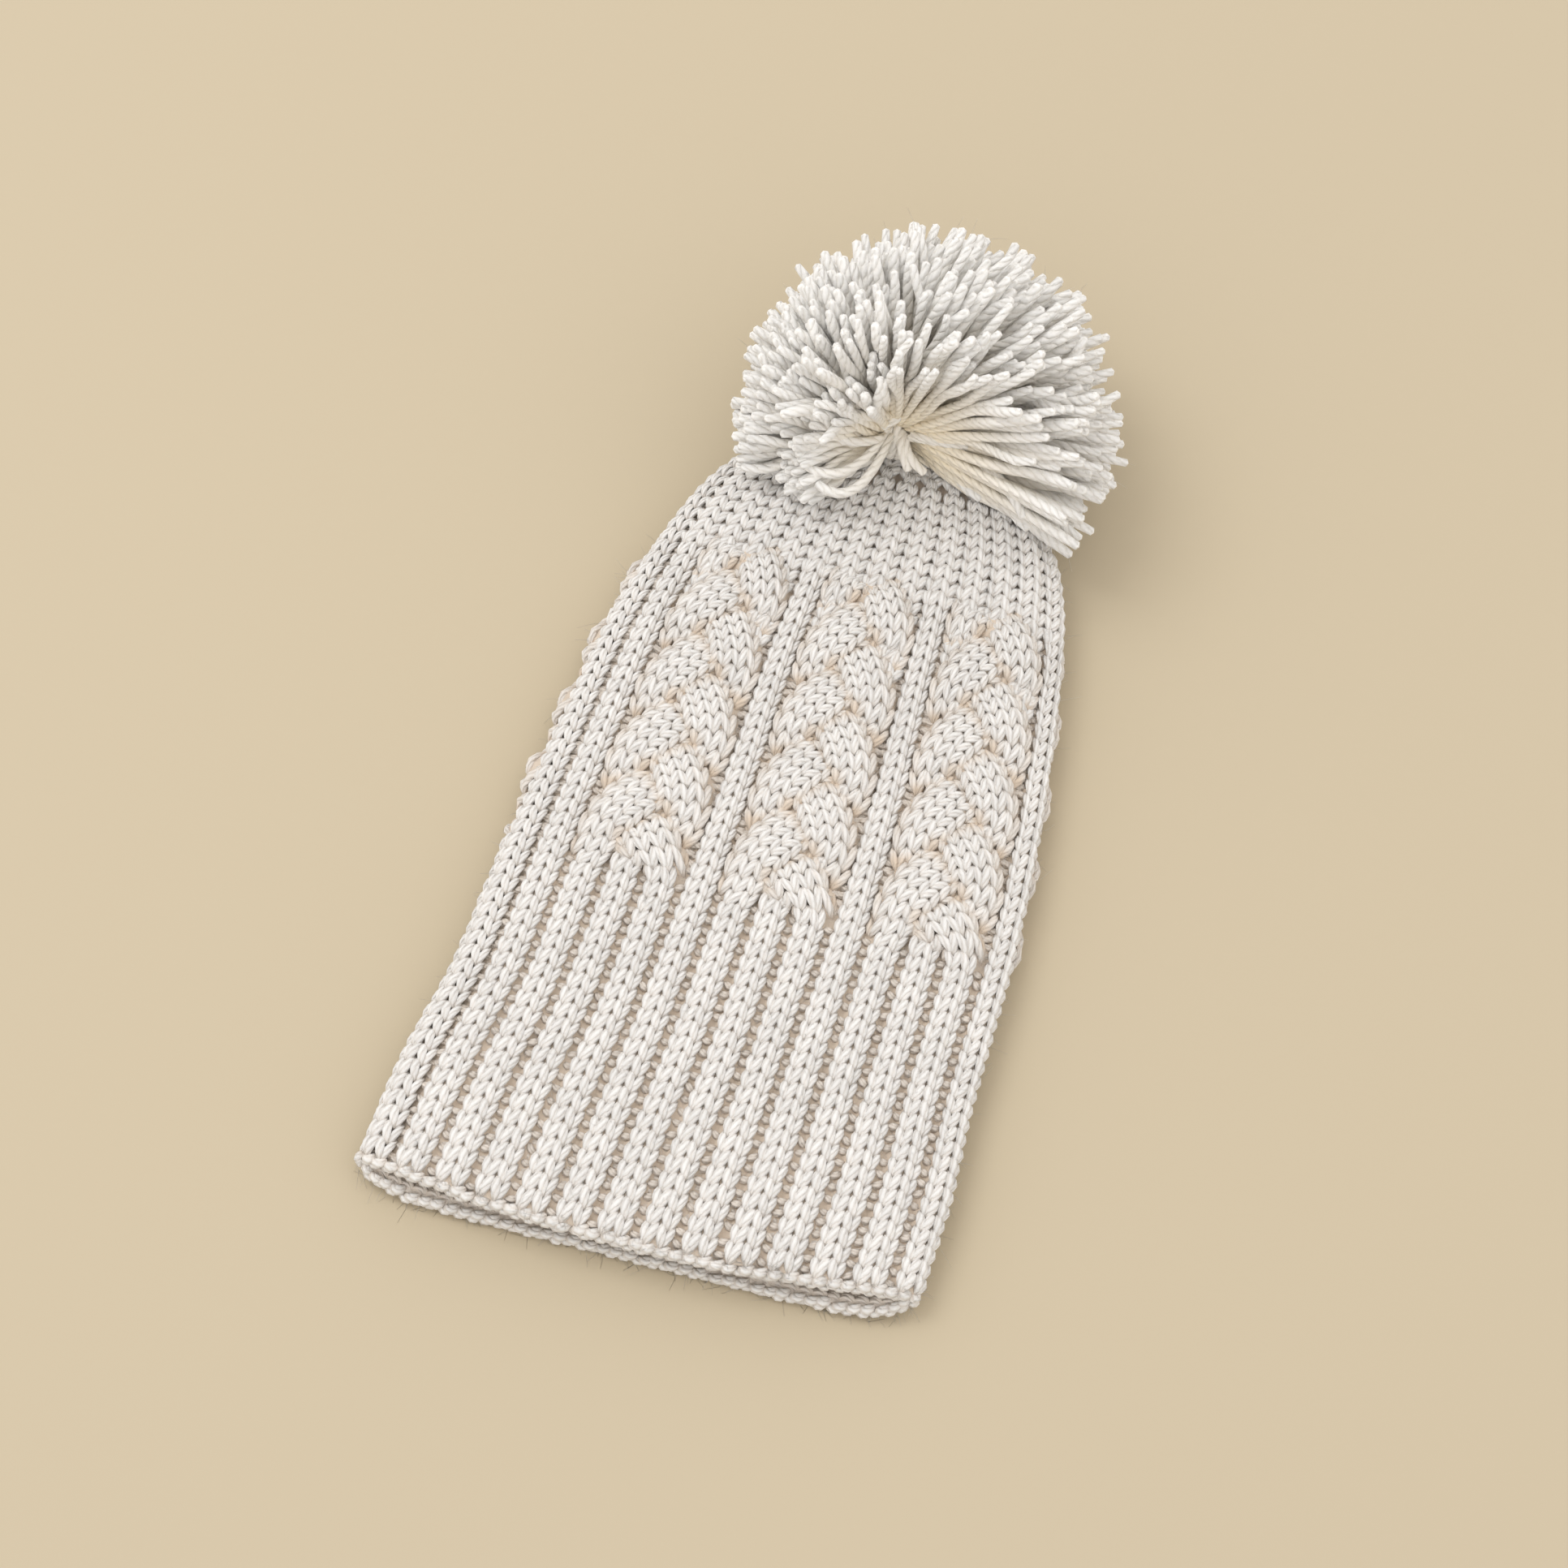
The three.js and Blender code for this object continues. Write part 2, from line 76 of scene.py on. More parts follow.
# y is a share of the brim's length, or 1 + a share of the crown's length past the seam between them. left and
# right are shares of half the flat width, top and lift are shares of the body's height.
SECTION_COLUMNS = ("y", "left", "right", "top", "lift")
SECTIONS = (
    (0.0, 1.03, 0.935, 0.97, 0.0),
    (0.28, 1.01, 0.94, 1.0, 0.0),
    (0.62, 0.95, 0.918, 1.0, 0.0),
    (1.0, 0.93, 0.913, 1.04, 0.0),
    (1.22, 0.9, 0.885, 1.1, 0.0),
    (1.45, 0.86, 0.83, 1.16, 0.0),
    (1.64, 0.785, 0.765, 1.26, 0.0),
    (1.79, 0.69, 0.685, 1.38, 0.02),
    (1.89, 0.56, 0.57, 1.46, 0.08),
    (1.955, 0.4, 0.41, 1.48, 0.25),
    (1.988, 0.24, 0.2, 1.44, 0.6),
    (2.0, 0.085, 0.005, 1.38, 1.15),
)

# The knit
CABLES = 7
RIBS_PER_CABLE = 4
CABLE_SHIFT = 0.15
CABLE_MIDDLE = 0.375
STRAND_PLACES = (0.125, 0.375, 0.625)
RIB_MIDDLE = 0.875
RIB_HALF = 0.1
STRAND_HALF = 0.2
LOBE_POWER = 2.5
STRAND_SWING = 0.2
STRAND_DIP = 0.8
RIB_RISE = 2.8 * MM
LOBE_PITCH = 27.5 * MM
CABLED_LENGTH = 122 * MM
FOLD_SHIFT = 0.036  # share of the girth by which the cable at the left fold lies further under
STRETCHED = (0.787, 0.794)  # shares between which the knit is stretched for it
CLOSED_UP = (0.36, 0.6)  # and closed up
FOLD_RIB = 0.7735  # share on which one more rib runs along the stretched knit
REPEAT_WIDTH = 2 * FLAT_WIDTH / CABLES
KNIT_WALL = 3 * MM

WALE_HALF = 0.049  # knit column from its rib's middle, as a share of one repeat
GROUND_ROWS = 260
GROUND_SHARES = 560
DENSE_STEPS = 288


def table_column(name):
    """One column of the sections as real lengths in metres."""
    rows = np.array(SECTIONS)
    values = rows[:, SECTION_COLUMNS.index(name)]
    if name == "y":
        return np.minimum(values, 1) * BRIM_LENGTH + np.maximum(values - 1, 0) * CROWN_LENGTH
    if name == "top":
        return values * BODY_HEIGHT
    if name == "lift":
        return REST_RISE + values * BODY_HEIGHT
    return values * FLAT_WIDTH / 2


def section_distances():
    """Distance along the fold of each section: the sum of steps hypot(rise in y, half the loss of width)."""
    steps = np.hypot(np.diff(table_column("y")), np.diff(table_column("left") + table_column("right")) / 2)
    return np.concatenate([[0.0], np.cumsum(steps)])


DISTANCES = section_distances()
SEAM = float(DISTANCES[3])
TIP = float(DISTANCES[-1])
CABLE_END = SEAM + CABLED_LENGTH


def sized(name, distance):
    """A column of the sections at any distance: a cubic through the rows.

    Each row's slope is the harmonic mean of the slopes on its two sides, or 0 at a turning point, so the
    curve never overshoots."""
    values = table_column(name)
    steep = np.diff(values) / np.diff(DISTANCES)
    before, after = steep[:-1], steep[1:]
    total = np.where(before * after > 0, before + after, 1)
    inner = np.where(before * after > 0, 2 * before * after / total, 0)
    slope = np.concatenate([steep[:1], inner, steep[-1:]])
    i = np.clip(np.searchsorted(DISTANCES, distance, side="right") - 1, 0, len(values) - 2)
    span = DISTANCES[i + 1] - DISTANCES[i]
    s = (distance - DISTANCES[i]) / span
    near = (1 + 2 * s) * (1 - s) ** 2
    return (near * values[i] + (1 - near) * values[i + 1]
            + s * (1 - s) ** 2 * span * slope[i] + s * s * (s - 1) * span * slope[i + 1])


def ground_grid():
    """The tube's plain face on a grid of distance and share, with its outward normals, in the frame's place.

    The cross-section is x = middle + half * cos(a), with the upper layer domed by cos(a) squared and both
    layers rounded by (1 - |cos(a)| ** 8) ** 0.5. It is read again in even steps of its girth. The
    normal is the cross product of the slope round the tube with the slope along it."""
    distance = np.linspace(0, TIP, GROUND_ROWS)[:, None]
    left, right, top, bottom = (sized(name, distance) for name in ("left", "right", "top", "lift"))
    turn = np.pi / 2 - 2 * np.pi * np.arange(DENSE_STEPS + 1)[None, :] / DENSE_STEPS
    across = np.cos(turn)
    round_ = np.sqrt(np.maximum(0, 1 - np.abs(across) ** FOLD_POWER))
    upper = np.sin(turn) >= -1e-9
    fold = bottom + (top - bottom) * FOLD_LEVEL
    rise = np.where(upper, (top - fold) * (1 - DOMING * across ** 2), bottom - fold)
    z = fold + rise * round_
    x = (right - left) / 2 + (left + right) / 2 * across
    opened = np.maximum(0, 1 - distance / BRIM_LENGTH) ** 2
    under = np.where(upper, 0, across ** 2 * (1 - across ** 8))
    sag = MOUTH_SAG * (1 - across ** 2)
    y = sized("y", distance) + (MOUTH_SLANT * x - BACK_LIP * under - sag) * opened
    dense = np.stack([x, y, z], axis=-1)
    steps = np.linalg.norm(np.diff(dense, axis=1), axis=-1)
    reached = np.concatenate([np.zeros((GROUND_ROWS, 1)), np.cumsum(steps, axis=1)], axis=1)
    reached /= reached[:, -1:]
    shares = np.arange(GROUND_SHARES) / GROUND_SHARES
    points = np.stack([
        np.stack([np.interp(shares, reached[row], dense[row, :, axis]) for axis in range(3)], axis=-1)
        for row in range(GROUND_ROWS)
    ])
    round_slope = np.roll(points, -1, axis=1) - np.roll(points, 1, axis=1)
    along_slope = np.gradient(points, axis=0)
    normals = np.cross(round_slope, along_slope)
    normals /= np.linalg.norm(normals, axis=-1, keepdims=True)
    seam_y = (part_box("brim")[1].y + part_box("crown")[0].y) / 2
    middle_x = (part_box("brim")[0].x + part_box("brim")[1].x) / 2
    points[..., 0] += middle_x - (points[0, :, 0].min() + points[0, :, 0].max()) / 2
    points[..., 1] += seam_y - BRIM_LENGTH
    return points, normals


GROUND, GROUND_NORMALS = ground_grid()


def read_grid(grid, share, distance):
    """Value of a grid at shares and distances, from its four nearest nodes and carried on past its end."""
    column = np.mod(share, 1) * GROUND_SHARES
    row = distance / TIP * (GROUND_ROWS - 1)
    i = np.clip(np.floor(row).astype(int), 0, GROUND_ROWS - 2)
    j = np.floor(column).astype(int) % GROUND_SHARES
    k = (j + 1) % GROUND_SHARES
    up = (row - i)[..., None]
    over = (column - np.floor(column))[..., None]
    low = grid[i, j] * (1 - over) + grid[i, k] * over
    high = grid[i + 1, j] * (1 - over) + grid[i + 1, k] * over
    return low * (1 - up) + high * up


def facing(share, distance):
    """Outward unit normals of the tube's plain face."""
    normals = read_grid(GROUND_NORMALS, share, np.clip(distance, 0, TIP))
    return normals / np.linalg.norm(normals, axis=-1, keepdims=True)


def lay(share, distance, out):
    """Points at a height out from the tube's plain face, along its normal."""
    return read_grid(GROUND, share, distance) + facing(share, distance) * np.asarray(out)[..., None]


def ease(start, end, value):
    """Smooth step from 0 to 1: 3 s squared - 2 s cubed."""
    s = np.clip((value - start) / (end - start), 0, 1)
    return s * s * (3 - 2 * s)


def ridge(offset, half, power=2):
    """Round profile of a ridge: 1 on its crest and 0 from its foot outwards. A higher power is squarer."""
    return np.sqrt(np.maximum(0, 1 - np.abs(offset / half) ** power))


def plait_started(distance):
    """How far the ribs have run into the plait: 0 in the brim, 1 above."""
    return ease(SEAM - LOBE_PITCH / 4, SEAM + LOBE_PITCH / 3, distance)


def plait_ended(distance):
    """How far the plait has run out into plain columns: 0 along the cables, 1 above them."""
    return ease(CABLE_END - LOBE_PITCH / 6, CABLE_END + LOBE_PITCH / 4, distance)


def strand_path(strand, distance, rise):
    """Middle, lean and level of a plait's strand. The middle swings as the sine of the strand's phase and the
    level dips as the sine of twice its phase, so it lies on top while it comes back from an edge. Below the
    plait, the strand is its rib."""
    turn = 2 * np.pi * (distance - SEAM) / (3 * LOBE_PITCH) + 2 * np.pi * strand / 3
    amount = plait_started(distance)
    straight = STRAND_PLACES[(strand + 1) % 3]
    middle = straight + (CABLE_MIDDLE + STRAND_SWING * np.sin(turn) - straight) * amount
    lean = amount * STRAND_SWING * REPEAT_WIDTH * np.cos(turn) * 2 * np.pi / (3 * LOBE_PITCH)
    level = RIB_RISE + (rise * (1 - STRAND_DIP * (1 + np.sin(2 * turn)) / 2) - RIB_RISE) * amount
    return middle, lean, level


def plait_height(place, distance, rise):
    """Height of the highest strand of a plait over the grooves."""
    heights = []
    for strand in range(3):
        middle, lean, level = strand_path(strand, distance, rise)
        heights.append(level * ridge(place - middle, STRAND_HALF * np.hypot(1, lean), LOBE_POWER))
    return np.max(heights, axis=0)


def relief(place, distance, rise):
    """Height of the knit over its grooves at a place across one repeat."""
    amount = plait_started(distance) * (1 - plait_ended(distance))
    fade = 1 - 0.8 * ease(CABLE_END, TIP, distance)
    ribs = np.max([ridge(place - middle, RIB_HALF) for middle in (*STRAND_PLACES, RIB_MIDDLE)], axis=0)
    plaited = np.maximum(plait_height(place, distance, rise), RIB_RISE * ridge(place - RIB_MIDDLE, RIB_HALF))
    return RIB_RISE * ribs * fade * (1 - amount) + plaited * amount


def girth_share(cable, place):
    """Share of the girth for a place across one repeat, with the left fold's cable pulled under. Without a
    cable, the place is counted in repeats from share 0 and nothing is pulled."""
    if cable is None:
        return place / CABLES
    share = (cable + CABLE_SHIFT + place - CABLE_MIDDLE) / CABLES
    turn = np.mod(share, 1)
    return share - FOLD_SHIFT * ease(*CLOSED_UP, turn) * (1 - ease(*STRETCHED, turn))


# Meshes
def new_mesh_object(name, vertices, quads, triangles, uvs, attributes, material):
    """A mesh from arrays: quads and triangles are rows of vertex numbers, and uvs has a row per corner."""
    corners = np.concatenate([quads.ravel(), triangles.ravel()]).astype(np.int32)
    starts = np.concatenate([
        4 * np.arange(len(quads)), 4 * len(quads) + 3 * np.arange(len(triangles)),
    ]).astype(np.int32)
    mesh = bpy.data.meshes.new(name)
    mesh.vertices.add(len(vertices))
    mesh.vertices.foreach_set("co", np.asarray(vertices, np.float32).ravel())
    mesh.loops.add(len(corners))
    mesh.loops.foreach_set("vertex_index", corners)
    mesh.polygons.add(len(starts))
    mesh.polygons.foreach_set("loop_start", starts)
    mesh.update(calc_edges=True)
    mesh.polygons.foreach_set("use_smooth", np.ones(len(starts), bool))
    layer = mesh.uv_layers.new(name="yarn")
    layer.data.foreach_set("uv", np.asarray(uvs, np.float32).ravel())
    for key, values in attributes.items():
        attribute = mesh.attributes.new(key, "FLOAT", "POINT")
        attribute.data.foreach_set("value", np.asarray(values, np.float32).ravel())
    mesh.materials.append(material)
    mesh.update()
    piece = bpy.data.objects.new(name, mesh)
    bpy.context.scene.collection.objects.link(piece)
    return piece


def corner_uvs(*pairs):
    """Texture coordinates of faces, from a pair of u and v arrays for each corner."""
    return np.stack([np.stack(pair, -1) for pair in pairs], axis=-2)


def yarn_tubes(name, centres, normals, radii, sides, material, tone, depth, flatten=1.0, floor=None):
    """Closed tubes along many paths at once.

    centres is (tubes, rings, 3), radii is (tubes, rings). Each ring is centre + side * r * cos(a) + up * r *
    flatten * sin(a), where side is square to the path and to the normal. The ends close in a point."""
    count, rings = radii.shape
    along = np.gradient(centres, axis=1)
    along /= np.linalg.norm(along, axis=-1, keepdims=True)
    side = np.cross(along, normals)
    side /= np.linalg.norm(side, axis=-1, keepdims=True)
    up = np.cross(side, along)
    angle = 2 * np.pi * np.arange(sides) / sides
    ring = (side[:, :, None] * np.cos(angle)[:, None] + up[:, :, None] * np.sin(angle)[:, None] * flatten)
    body = centres[:, :, None] + ring * radii[:, :, None, None]
    first = centres[:, :1] - along[:, :1] * radii[:, :1, None] * 0.5
    last = centres[:, -1:] + along[:, -1:] * radii[:, -1:, None] * 0.5
    block = np.concatenate([body.reshape(count, rings * sides, 3), first, last], axis=1)
    if floor is not None:
        block[..., 2] = np.maximum(block[..., 2], floor)
    size = rings * sides + 2
    i = np.arange(sides)
    j = (i + 1) % sides
    row = np.arange(rings - 1)[:, None] * sides
    quad = np.stack([row + i, row + sides + i, row + sides + j, row + j], axis=-1).reshape(-1, 4)
    end = (rings - 1) * sides
    cap = np.concatenate([
        np.stack([np.full(sides, size - 2), i, j], axis=-1),
        np.stack([np.full(sides, size - 1), end + j, end + i], axis=-1),
    ])
    shift = (np.arange(count) * size)[:, None, None]
    quads = (quad[None] + shift).reshape(-1, 4)
    triangles = (cap[None] + shift).reshape(-1, 3)
    length = np.concatenate([
        np.zeros((count, 1)), np.cumsum(np.linalg.norm(np.diff(centres, axis=1), axis=-1), axis=1)], axis=1)
    u0, u1 = i / sides, (i + 1) / sides
    v = length / MM
    low, high = v[:, :-1, None] + 0 * u0, v[:, 1:, None] + 0 * u0
    around0, around1 = np.broadcast_to(u0, low.shape), np.broadcast_to(u1, low.shape)
    quad_uv = corner_uvs((around0, low), (around0, high), (around1, high), (around1, low))
    cap_v = np.stack([v[:, 0], v[:, -1]], axis=1)[:, :, None] + 0 * u0
    cap0, cap1 = np.broadcast_to(u0, cap_v.shape), np.broadcast_to(u1, cap_v.shape)
    middle = (cap0 + cap1) / 2
    swap = np.array([False, True])[None, :, None]
    cap_uv = corner_uvs(
        (middle, cap_v), (np.where(swap, cap1, cap0), cap_v), (np.where(swap, cap0, cap1), cap_v))
    uvs = np.concatenate([quad_uv.reshape(-1, 2), cap_uv.reshape(-1, 2)])
    tones = np.repeat(tone, size)
    painted_shades = np.concatenate([np.repeat(depth, sides, axis=1), depth[:, :1], depth[:, -1:]], axis=1)
    return new_mesh_object(
        name, block.reshape(-1, 3), quads, triangles, uvs,
        {"tone": tones, "depth": painted_shades.ravel()}, material)


def closed_shell(name, outer, inner, material, outer_shade, inner_shade):
    """A wall between an outer and an inner grid of points: up the outer face and down the inner one."""
    rows = np.concatenate([outer, inner[::-1]])
    painted_shades = np.concatenate([outer_shade, inner_shade[::-1]])
    count, sides = rows.shape[:2]
    i = np.arange(sides)
    j = (i + 1) % sides
    low = np.arange(count)[:, None] * sides
    high = (np.arange(count)[:, None] + 1) % count * sides
    quads = np.stack([low + i, low + j, high + j, high + i], axis=-1).reshape(-1, 4)
    u = np.broadcast_to(i / sides, (count, sides))
    v = np.broadcast_to(np.arange(count)[:, None] / count, (count, sides))
    du, dv = 1 / sides, 1 / count
    uvs = corner_uvs((u, v), (u + du, v), (u + du, v + dv), (u, v + dv))
    return new_mesh_object(
        name, rows.reshape(-1, 3), quads, np.zeros((0, 3), int), uvs.reshape(-1, 2),
        {"tone": np.full(count * sides, 0.5), "depth": painted_shades.ravel()}, material)


# Materials
FIBRE_SCALE = 2200.0
CLOUD_SCALE = 38
WANDER_SCALE = 420
BUMP_STRENGTH = 0.8
BUMP_REACH = 0.8 * MM


def group_socket(tree, name, kind, way, default=None):
    """A named input or output of a shader node group."""
    socket = tree.interface.new_socket(name=name, in_out=way, socket_type=kind)
    if default is not None:
        socket.default_value = default
    return socket


def value_node(tree, operation, first, second=None, third=None):
    """A Math node whose inputs are numbers or other nodes' sockets."""
    node = tree.nodes.new("ShaderNodeMath")
    node.operation = operation
    for socket, given in zip(node.inputs, (first, second, third)):
        if given is None:
            continue
        if isinstance(given, (int, float)):
            socket.default_value = given
        else:
            tree.links.new(given, socket)
    return node.outputs[0]


def mixed_colour(tree, factor, first, second, blend="MIX"):
    """A colour Mix node whose inputs are colours or other nodes' sockets."""
    node = tree.nodes.new("ShaderNodeMix")
    node.data_type = "RGBA"
    node.blend_type = blend
    for socket, given in ((node.inputs[0], factor), (node.inputs[6], first), (node.inputs[7], second)):
        if isinstance(given, (int, float)):
            socket.default_value = given
        elif isinstance(given, (tuple, list)):
            socket.default_value = (*given[:3], 1)
        else:
            tree.links.new(given, socket)
    return node.outputs[2]


def object_noise(tree, detail, scale=None, roughness=None):
    """A Noise node on object coordinates."""
    place = tree.nodes.new("ShaderNodeTexCoord")
    noise = tree.nodes.new("ShaderNodeTexNoise")
    tree.links.new(place.outputs["Object"], noise.inputs["Vector"])
    for name, value in (("Detail", detail), ("Scale", scale), ("Roughness", roughness)):
        if value is not None:
            noise.inputs[name].default_value = value
    return noise


def yarn_twist_group():
    """Twisted plies: grooves where the sine of (plies * turns round + length / lay) is low."""
    tree = bpy.data.node_groups.new("Yarn Twist", "ShaderNodeTree")
    group_socket(tree, "Plies", "NodeSocketFloat", "INPUT", 3.0)
    group_socket(tree, "Lay", "NodeSocketFloat", "INPUT", 6.0)
    group_socket(tree, "Height", "NodeSocketFloat", "OUTPUT")
    group_socket(tree, "Groove", "NodeSocketFloat", "OUTPUT")
    given = tree.nodes.new("NodeGroupInput")
    result = tree.nodes.new("NodeGroupOutput")
    uv = tree.nodes.new("ShaderNodeUVMap")
    uv.uv_map = "yarn"
    split = tree.nodes.new("ShaderNodeSeparateXYZ")
    tree.links.new(uv.outputs[0], split.inputs[0])
    wander = object_noise(tree, 1, WANDER_SCALE)
    turns = value_node(tree, "MULTIPLY", split.outputs[0], given.outputs["Plies"])
    length = value_node(tree, "DIVIDE", split.outputs[1], given.outputs["Lay"])
    phase = value_node(tree, "ADD", turns, length)
    loose = value_node(tree, "MULTIPLY_ADD", wander.outputs[0], 0.45, phase)
    angle = value_node(tree, "MULTIPLY", loose, 2 * math.pi)
    wave = value_node(tree, "SINE", angle)
    half = value_node(tree, "MULTIPLY_ADD", wave, 0.5, 0.5)
    full = value_node(tree, "POWER", half, 0.45)
    tree.links.new(full, result.inputs["Height"])
    groove = value_node(tree, "SUBTRACT", 1.0, full)
    tree.links.new(groove, result.inputs["Groove"])
    return tree


def wool_fibre_group():
    """Fine fibres and fluff: a long-grained noise and a soft cloudy one, both on object coordinates."""
    tree = bpy.data.node_groups.new("Wool Fibre", "ShaderNodeTree")
    group_socket(tree, "Scale", "NodeSocketFloat", "INPUT", FIBRE_SCALE)
    group_socket(tree, "Height", "NodeSocketFloat", "OUTPUT")
    group_socket(tree, "Cloud", "NodeSocketFloat", "OUTPUT")
    given = tree.nodes.new("NodeGroupInput")
    result = tree.nodes.new("NodeGroupOutput")
    fine = object_noise(tree, 3, roughness=0.65)
    tree.links.new(given.outputs["Scale"], fine.inputs["Scale"])
    cloud = object_noise(tree, 4, CLOUD_SCALE)
    tree.links.new(fine.outputs[0], result.inputs["Height"])
    tree.links.new(cloud.outputs[0], result.inputs["Cloud"])
    return tree


def placed_group(tree, group, **values):
    """A node group placed in a material with its own values."""
    node = tree.nodes.new("ShaderNodeGroup")
    node.node_tree = bpy.data.node_groups[group]
    for name, value in values.items():
        node.inputs[name].default_value = value
    return node


def wool_material(name, light, dark, lay_length, plies, groove_depth, groove_shade):
    """Wool yarn, mixed from the wool colour to a painted shade colour by the depth attribute, which paints
    shade into holes, leg ends and pompom roots.
    """
    material = bpy.data.materials.new(name)
    material.use_nodes = True
    tree = material.node_tree
    shader = tree.nodes["Principled BSDF"]
    twist = placed_group(tree, "Yarn Twist", Plies=plies, Lay=lay_length)
    fibre = placed_group(tree, "Wool Fibre", Scale=FIBRE_SCALE)
    depth = tree.nodes.new("ShaderNodeAttribute")
    depth.attribute_name = "depth"
    tone = tree.nodes.new("ShaderNodeAttribute")
    tone.attribute_name = "tone"
    # painted shade: the wool colour turns to the painted shade colour as the depth attribute rises
    base = mixed_colour(tree, depth.outputs["Fac"], tuple(light), tuple(dark))
    # painted shade in the plies' grooves: mixed towards the painted shade colour
    shade = value_node(tree, "MULTIPLY", twist.outputs["Groove"], groove_shade)
    ply = mixed_colour(tree, shade, base, tuple(dark))
    cloud = value_node(tree, "MULTIPLY_ADD", fibre.outputs["Cloud"], 0.1, 0.9)
    own = value_node(tree, "MULTIPLY_ADD", tone.outputs["Fac"], 0.1, 0.95)
    level = value_node(tree, "MULTIPLY", cloud, own)
    grey = tree.nodes.new("ShaderNodeCombineColor")
    for socket in grey.inputs:
        tree.links.new(level, socket)
    toned = mixed_colour(tree, 1.0, ply, grey.outputs[0], "MULTIPLY")
    tree.links.new(toned, shader.inputs["Base Color"])
    plied = value_node(tree, "MULTIPLY", twist.outputs["Height"], groove_depth)
    fluff = value_node(tree, "MULTIPLY_ADD", fibre.outputs["Height"], 0.55, plied)
    bump = tree.nodes.new("ShaderNodeBump")
    bump.inputs["Strength"].default_value = BUMP_STRENGTH
    bump.inputs["Distance"].default_value = BUMP_REACH
    tree.links.new(fluff, bump.inputs["Height"])
    tree.links.new(bump.outputs[0], shader.inputs["Normal"])
    shader.inputs["Roughness"].default_value = 0.92
    shader.inputs["Specular IOR Level"].default_value = 0.15
    shader.inputs["Sheen Weight"].default_value = 0.35
    shader.inputs["Sheen Roughness"].default_value = 0.6
    shader.inputs["Sheen Tint"].default_value = (1.0, 0.98, 0.95, 1)
    return material


# Names of the wool colour and the painted shade colour on the panel, lay in mm, plies, how deep the plies'
# grooves are in the bump, and how much painted shade they get
WOOLS = {
    "knit wool": ("knit", "knit_depth", 5.0, 4.0, 0.8, 0.3),
    "knit backing": ("knit", "knit_depth", 4.5, 5.0, 0.2, 0.1),
    "pompom wool": ("pompom", "pompom_depth", 4.6, 3.0, 1.0, 0.15),
}


def finish_material(name):
    """A material by name, made on first use with the colours of the panel."""
    if name in bpy.data.materials:
        return bpy.data.materials[name]
    if "Yarn Twist" not in bpy.data.node_groups:
        yarn_twist_group()
        wool_fibre_group()
    colours = bpy.context.scene.beanie_colours
    light, dark, *yarn = WOOLS[name]
    return wool_material(name, getattr(colours, light), getattr(colours, dark), *yarn)


# Stitches
LEG_RINGS = 5
LEG_SIDES = 6
BUMP_SIDES = 5
LEG_PROFILE = np.array([0.5, 0.98, 1.1, 0.98, 0.5])  # thickness of a stitch's leg from its root to its top
LEG_SHARE = np.linspace(0, 1, LEG_RINGS)
LEG_SIDEWAYS = np.array([0.0, 0.48, 1.0, 1.5, 1.85])  # of half a column, from the root to the top of a leg
RIB_SIDEWAYS = np.array([0.1, 0.5, 0.9, 1.2, 1.35])  # the same in a rib, whose legs lean less
LEG_DIP = np.array([-1.4, -0.2, 0.3, -0.1, -1.5]) * MM  # height along a leg, over the face it lies on
LEG_PAINTED_SHADE = np.array([0.55, 0.04, 0.0, 0.03, 0.45])  # share of the painted shade colour along a leg: painted shade at its ends, where it dips under the next row
LEG_REACH = 1.38  # length of a leg in rows
LEG_TUCK = 0.16  # how far a leg starts under its own row
LEG_FULLNESS = 1.12  # most of a leg's thickness, as a share of a quarter of its column
LEG_SINK = 0.9  # how far a leg sinks into its face, as a share of its half thickness
END_SINK = 1.2 * MM  # how far a strand's last stitches sink where the plait has ended
SHADE_HEIGHTS = (-1.2 * MM, 2.4 * MM)  # heights over a stitch between which a neighbour shades it
EDGE_SHADE = 0.6  # how dark a strand's edges get
FIRST_ROW = 1.6 * MM  # from the rim of the mouth
BRIM_STITCHES = 22  # rows of the band
STRAND_COLUMN = 0.0985  # a strand's knit column, as a share of one repeat
COVER_MARGIN = 0.9 * MM  # a stitch shows unless another strand is this much higher
BACKING_SIDES = 36  # points of the backing round one repeat
HAIR_RINGS = 3
HAIR_RADIUS = 0.06 * MM
RIM_HAIRS = 4  # one in so many of the band's hairs grows on the rim
SHADE_REACH = 1.4  # how far a strand shades the one under it, as a share of its own half width
SET_BACK = 0.6 * MM  # how much lower a rib's last leg lies than the others
THINNER = 0.12  # share by which that leg is thinner
GROOVE_PLACES = (0.0, 0.25, 0.5, 0.75)  # middles of the grooves across one repeat
CABLE_GROOVES = (0.7, 0.73, 0.765, 0.985, 0.015, 0.05)  # the same beside a cable, where the grooves are wide
BUMP_ROW = 0.75  # distance between two purl bumps, in rows
CABLE_BUMP_ROW = 0.6
BUMP_HALF = 0.036  # half the length of a bump, as a share of one repeat
EDGE_LOOPS = 3  # loops of the cast-on edge for each rib
EDGE_ROWS = ((0.5, -0.9, 2.0, 0.0), (-0.5, -3.0, 1.9, 0.5))  # lean, height, radius in mm; shift in loops
INNER_ROWS = 5  # rows of stitches behind the rim
KNIT_HAIR = 5 * MM
FIRST_COUNT = 8  # columns of a repeat above the cables
ZONES = (
    (CABLE_END, FIRST_COUNT),
    (DISTANCES[8] + 4 * MM, FIRST_COUNT // 2),
    (DISTANCES[10] - 2 * MM, FIRST_COUNT // 4),
)
LAST_ROW = TIP - 3 * MM
HIDDEN_ROWS = 6  # rows that start under the end of a cable
PLAIN_MARGIN = 2.4 * MM  # a plain stitch shows unless the plait is this much higher
PAIRED = 0.8  # how far two columns run together
NARROWED = 0.45  # share of its width that a column loses there
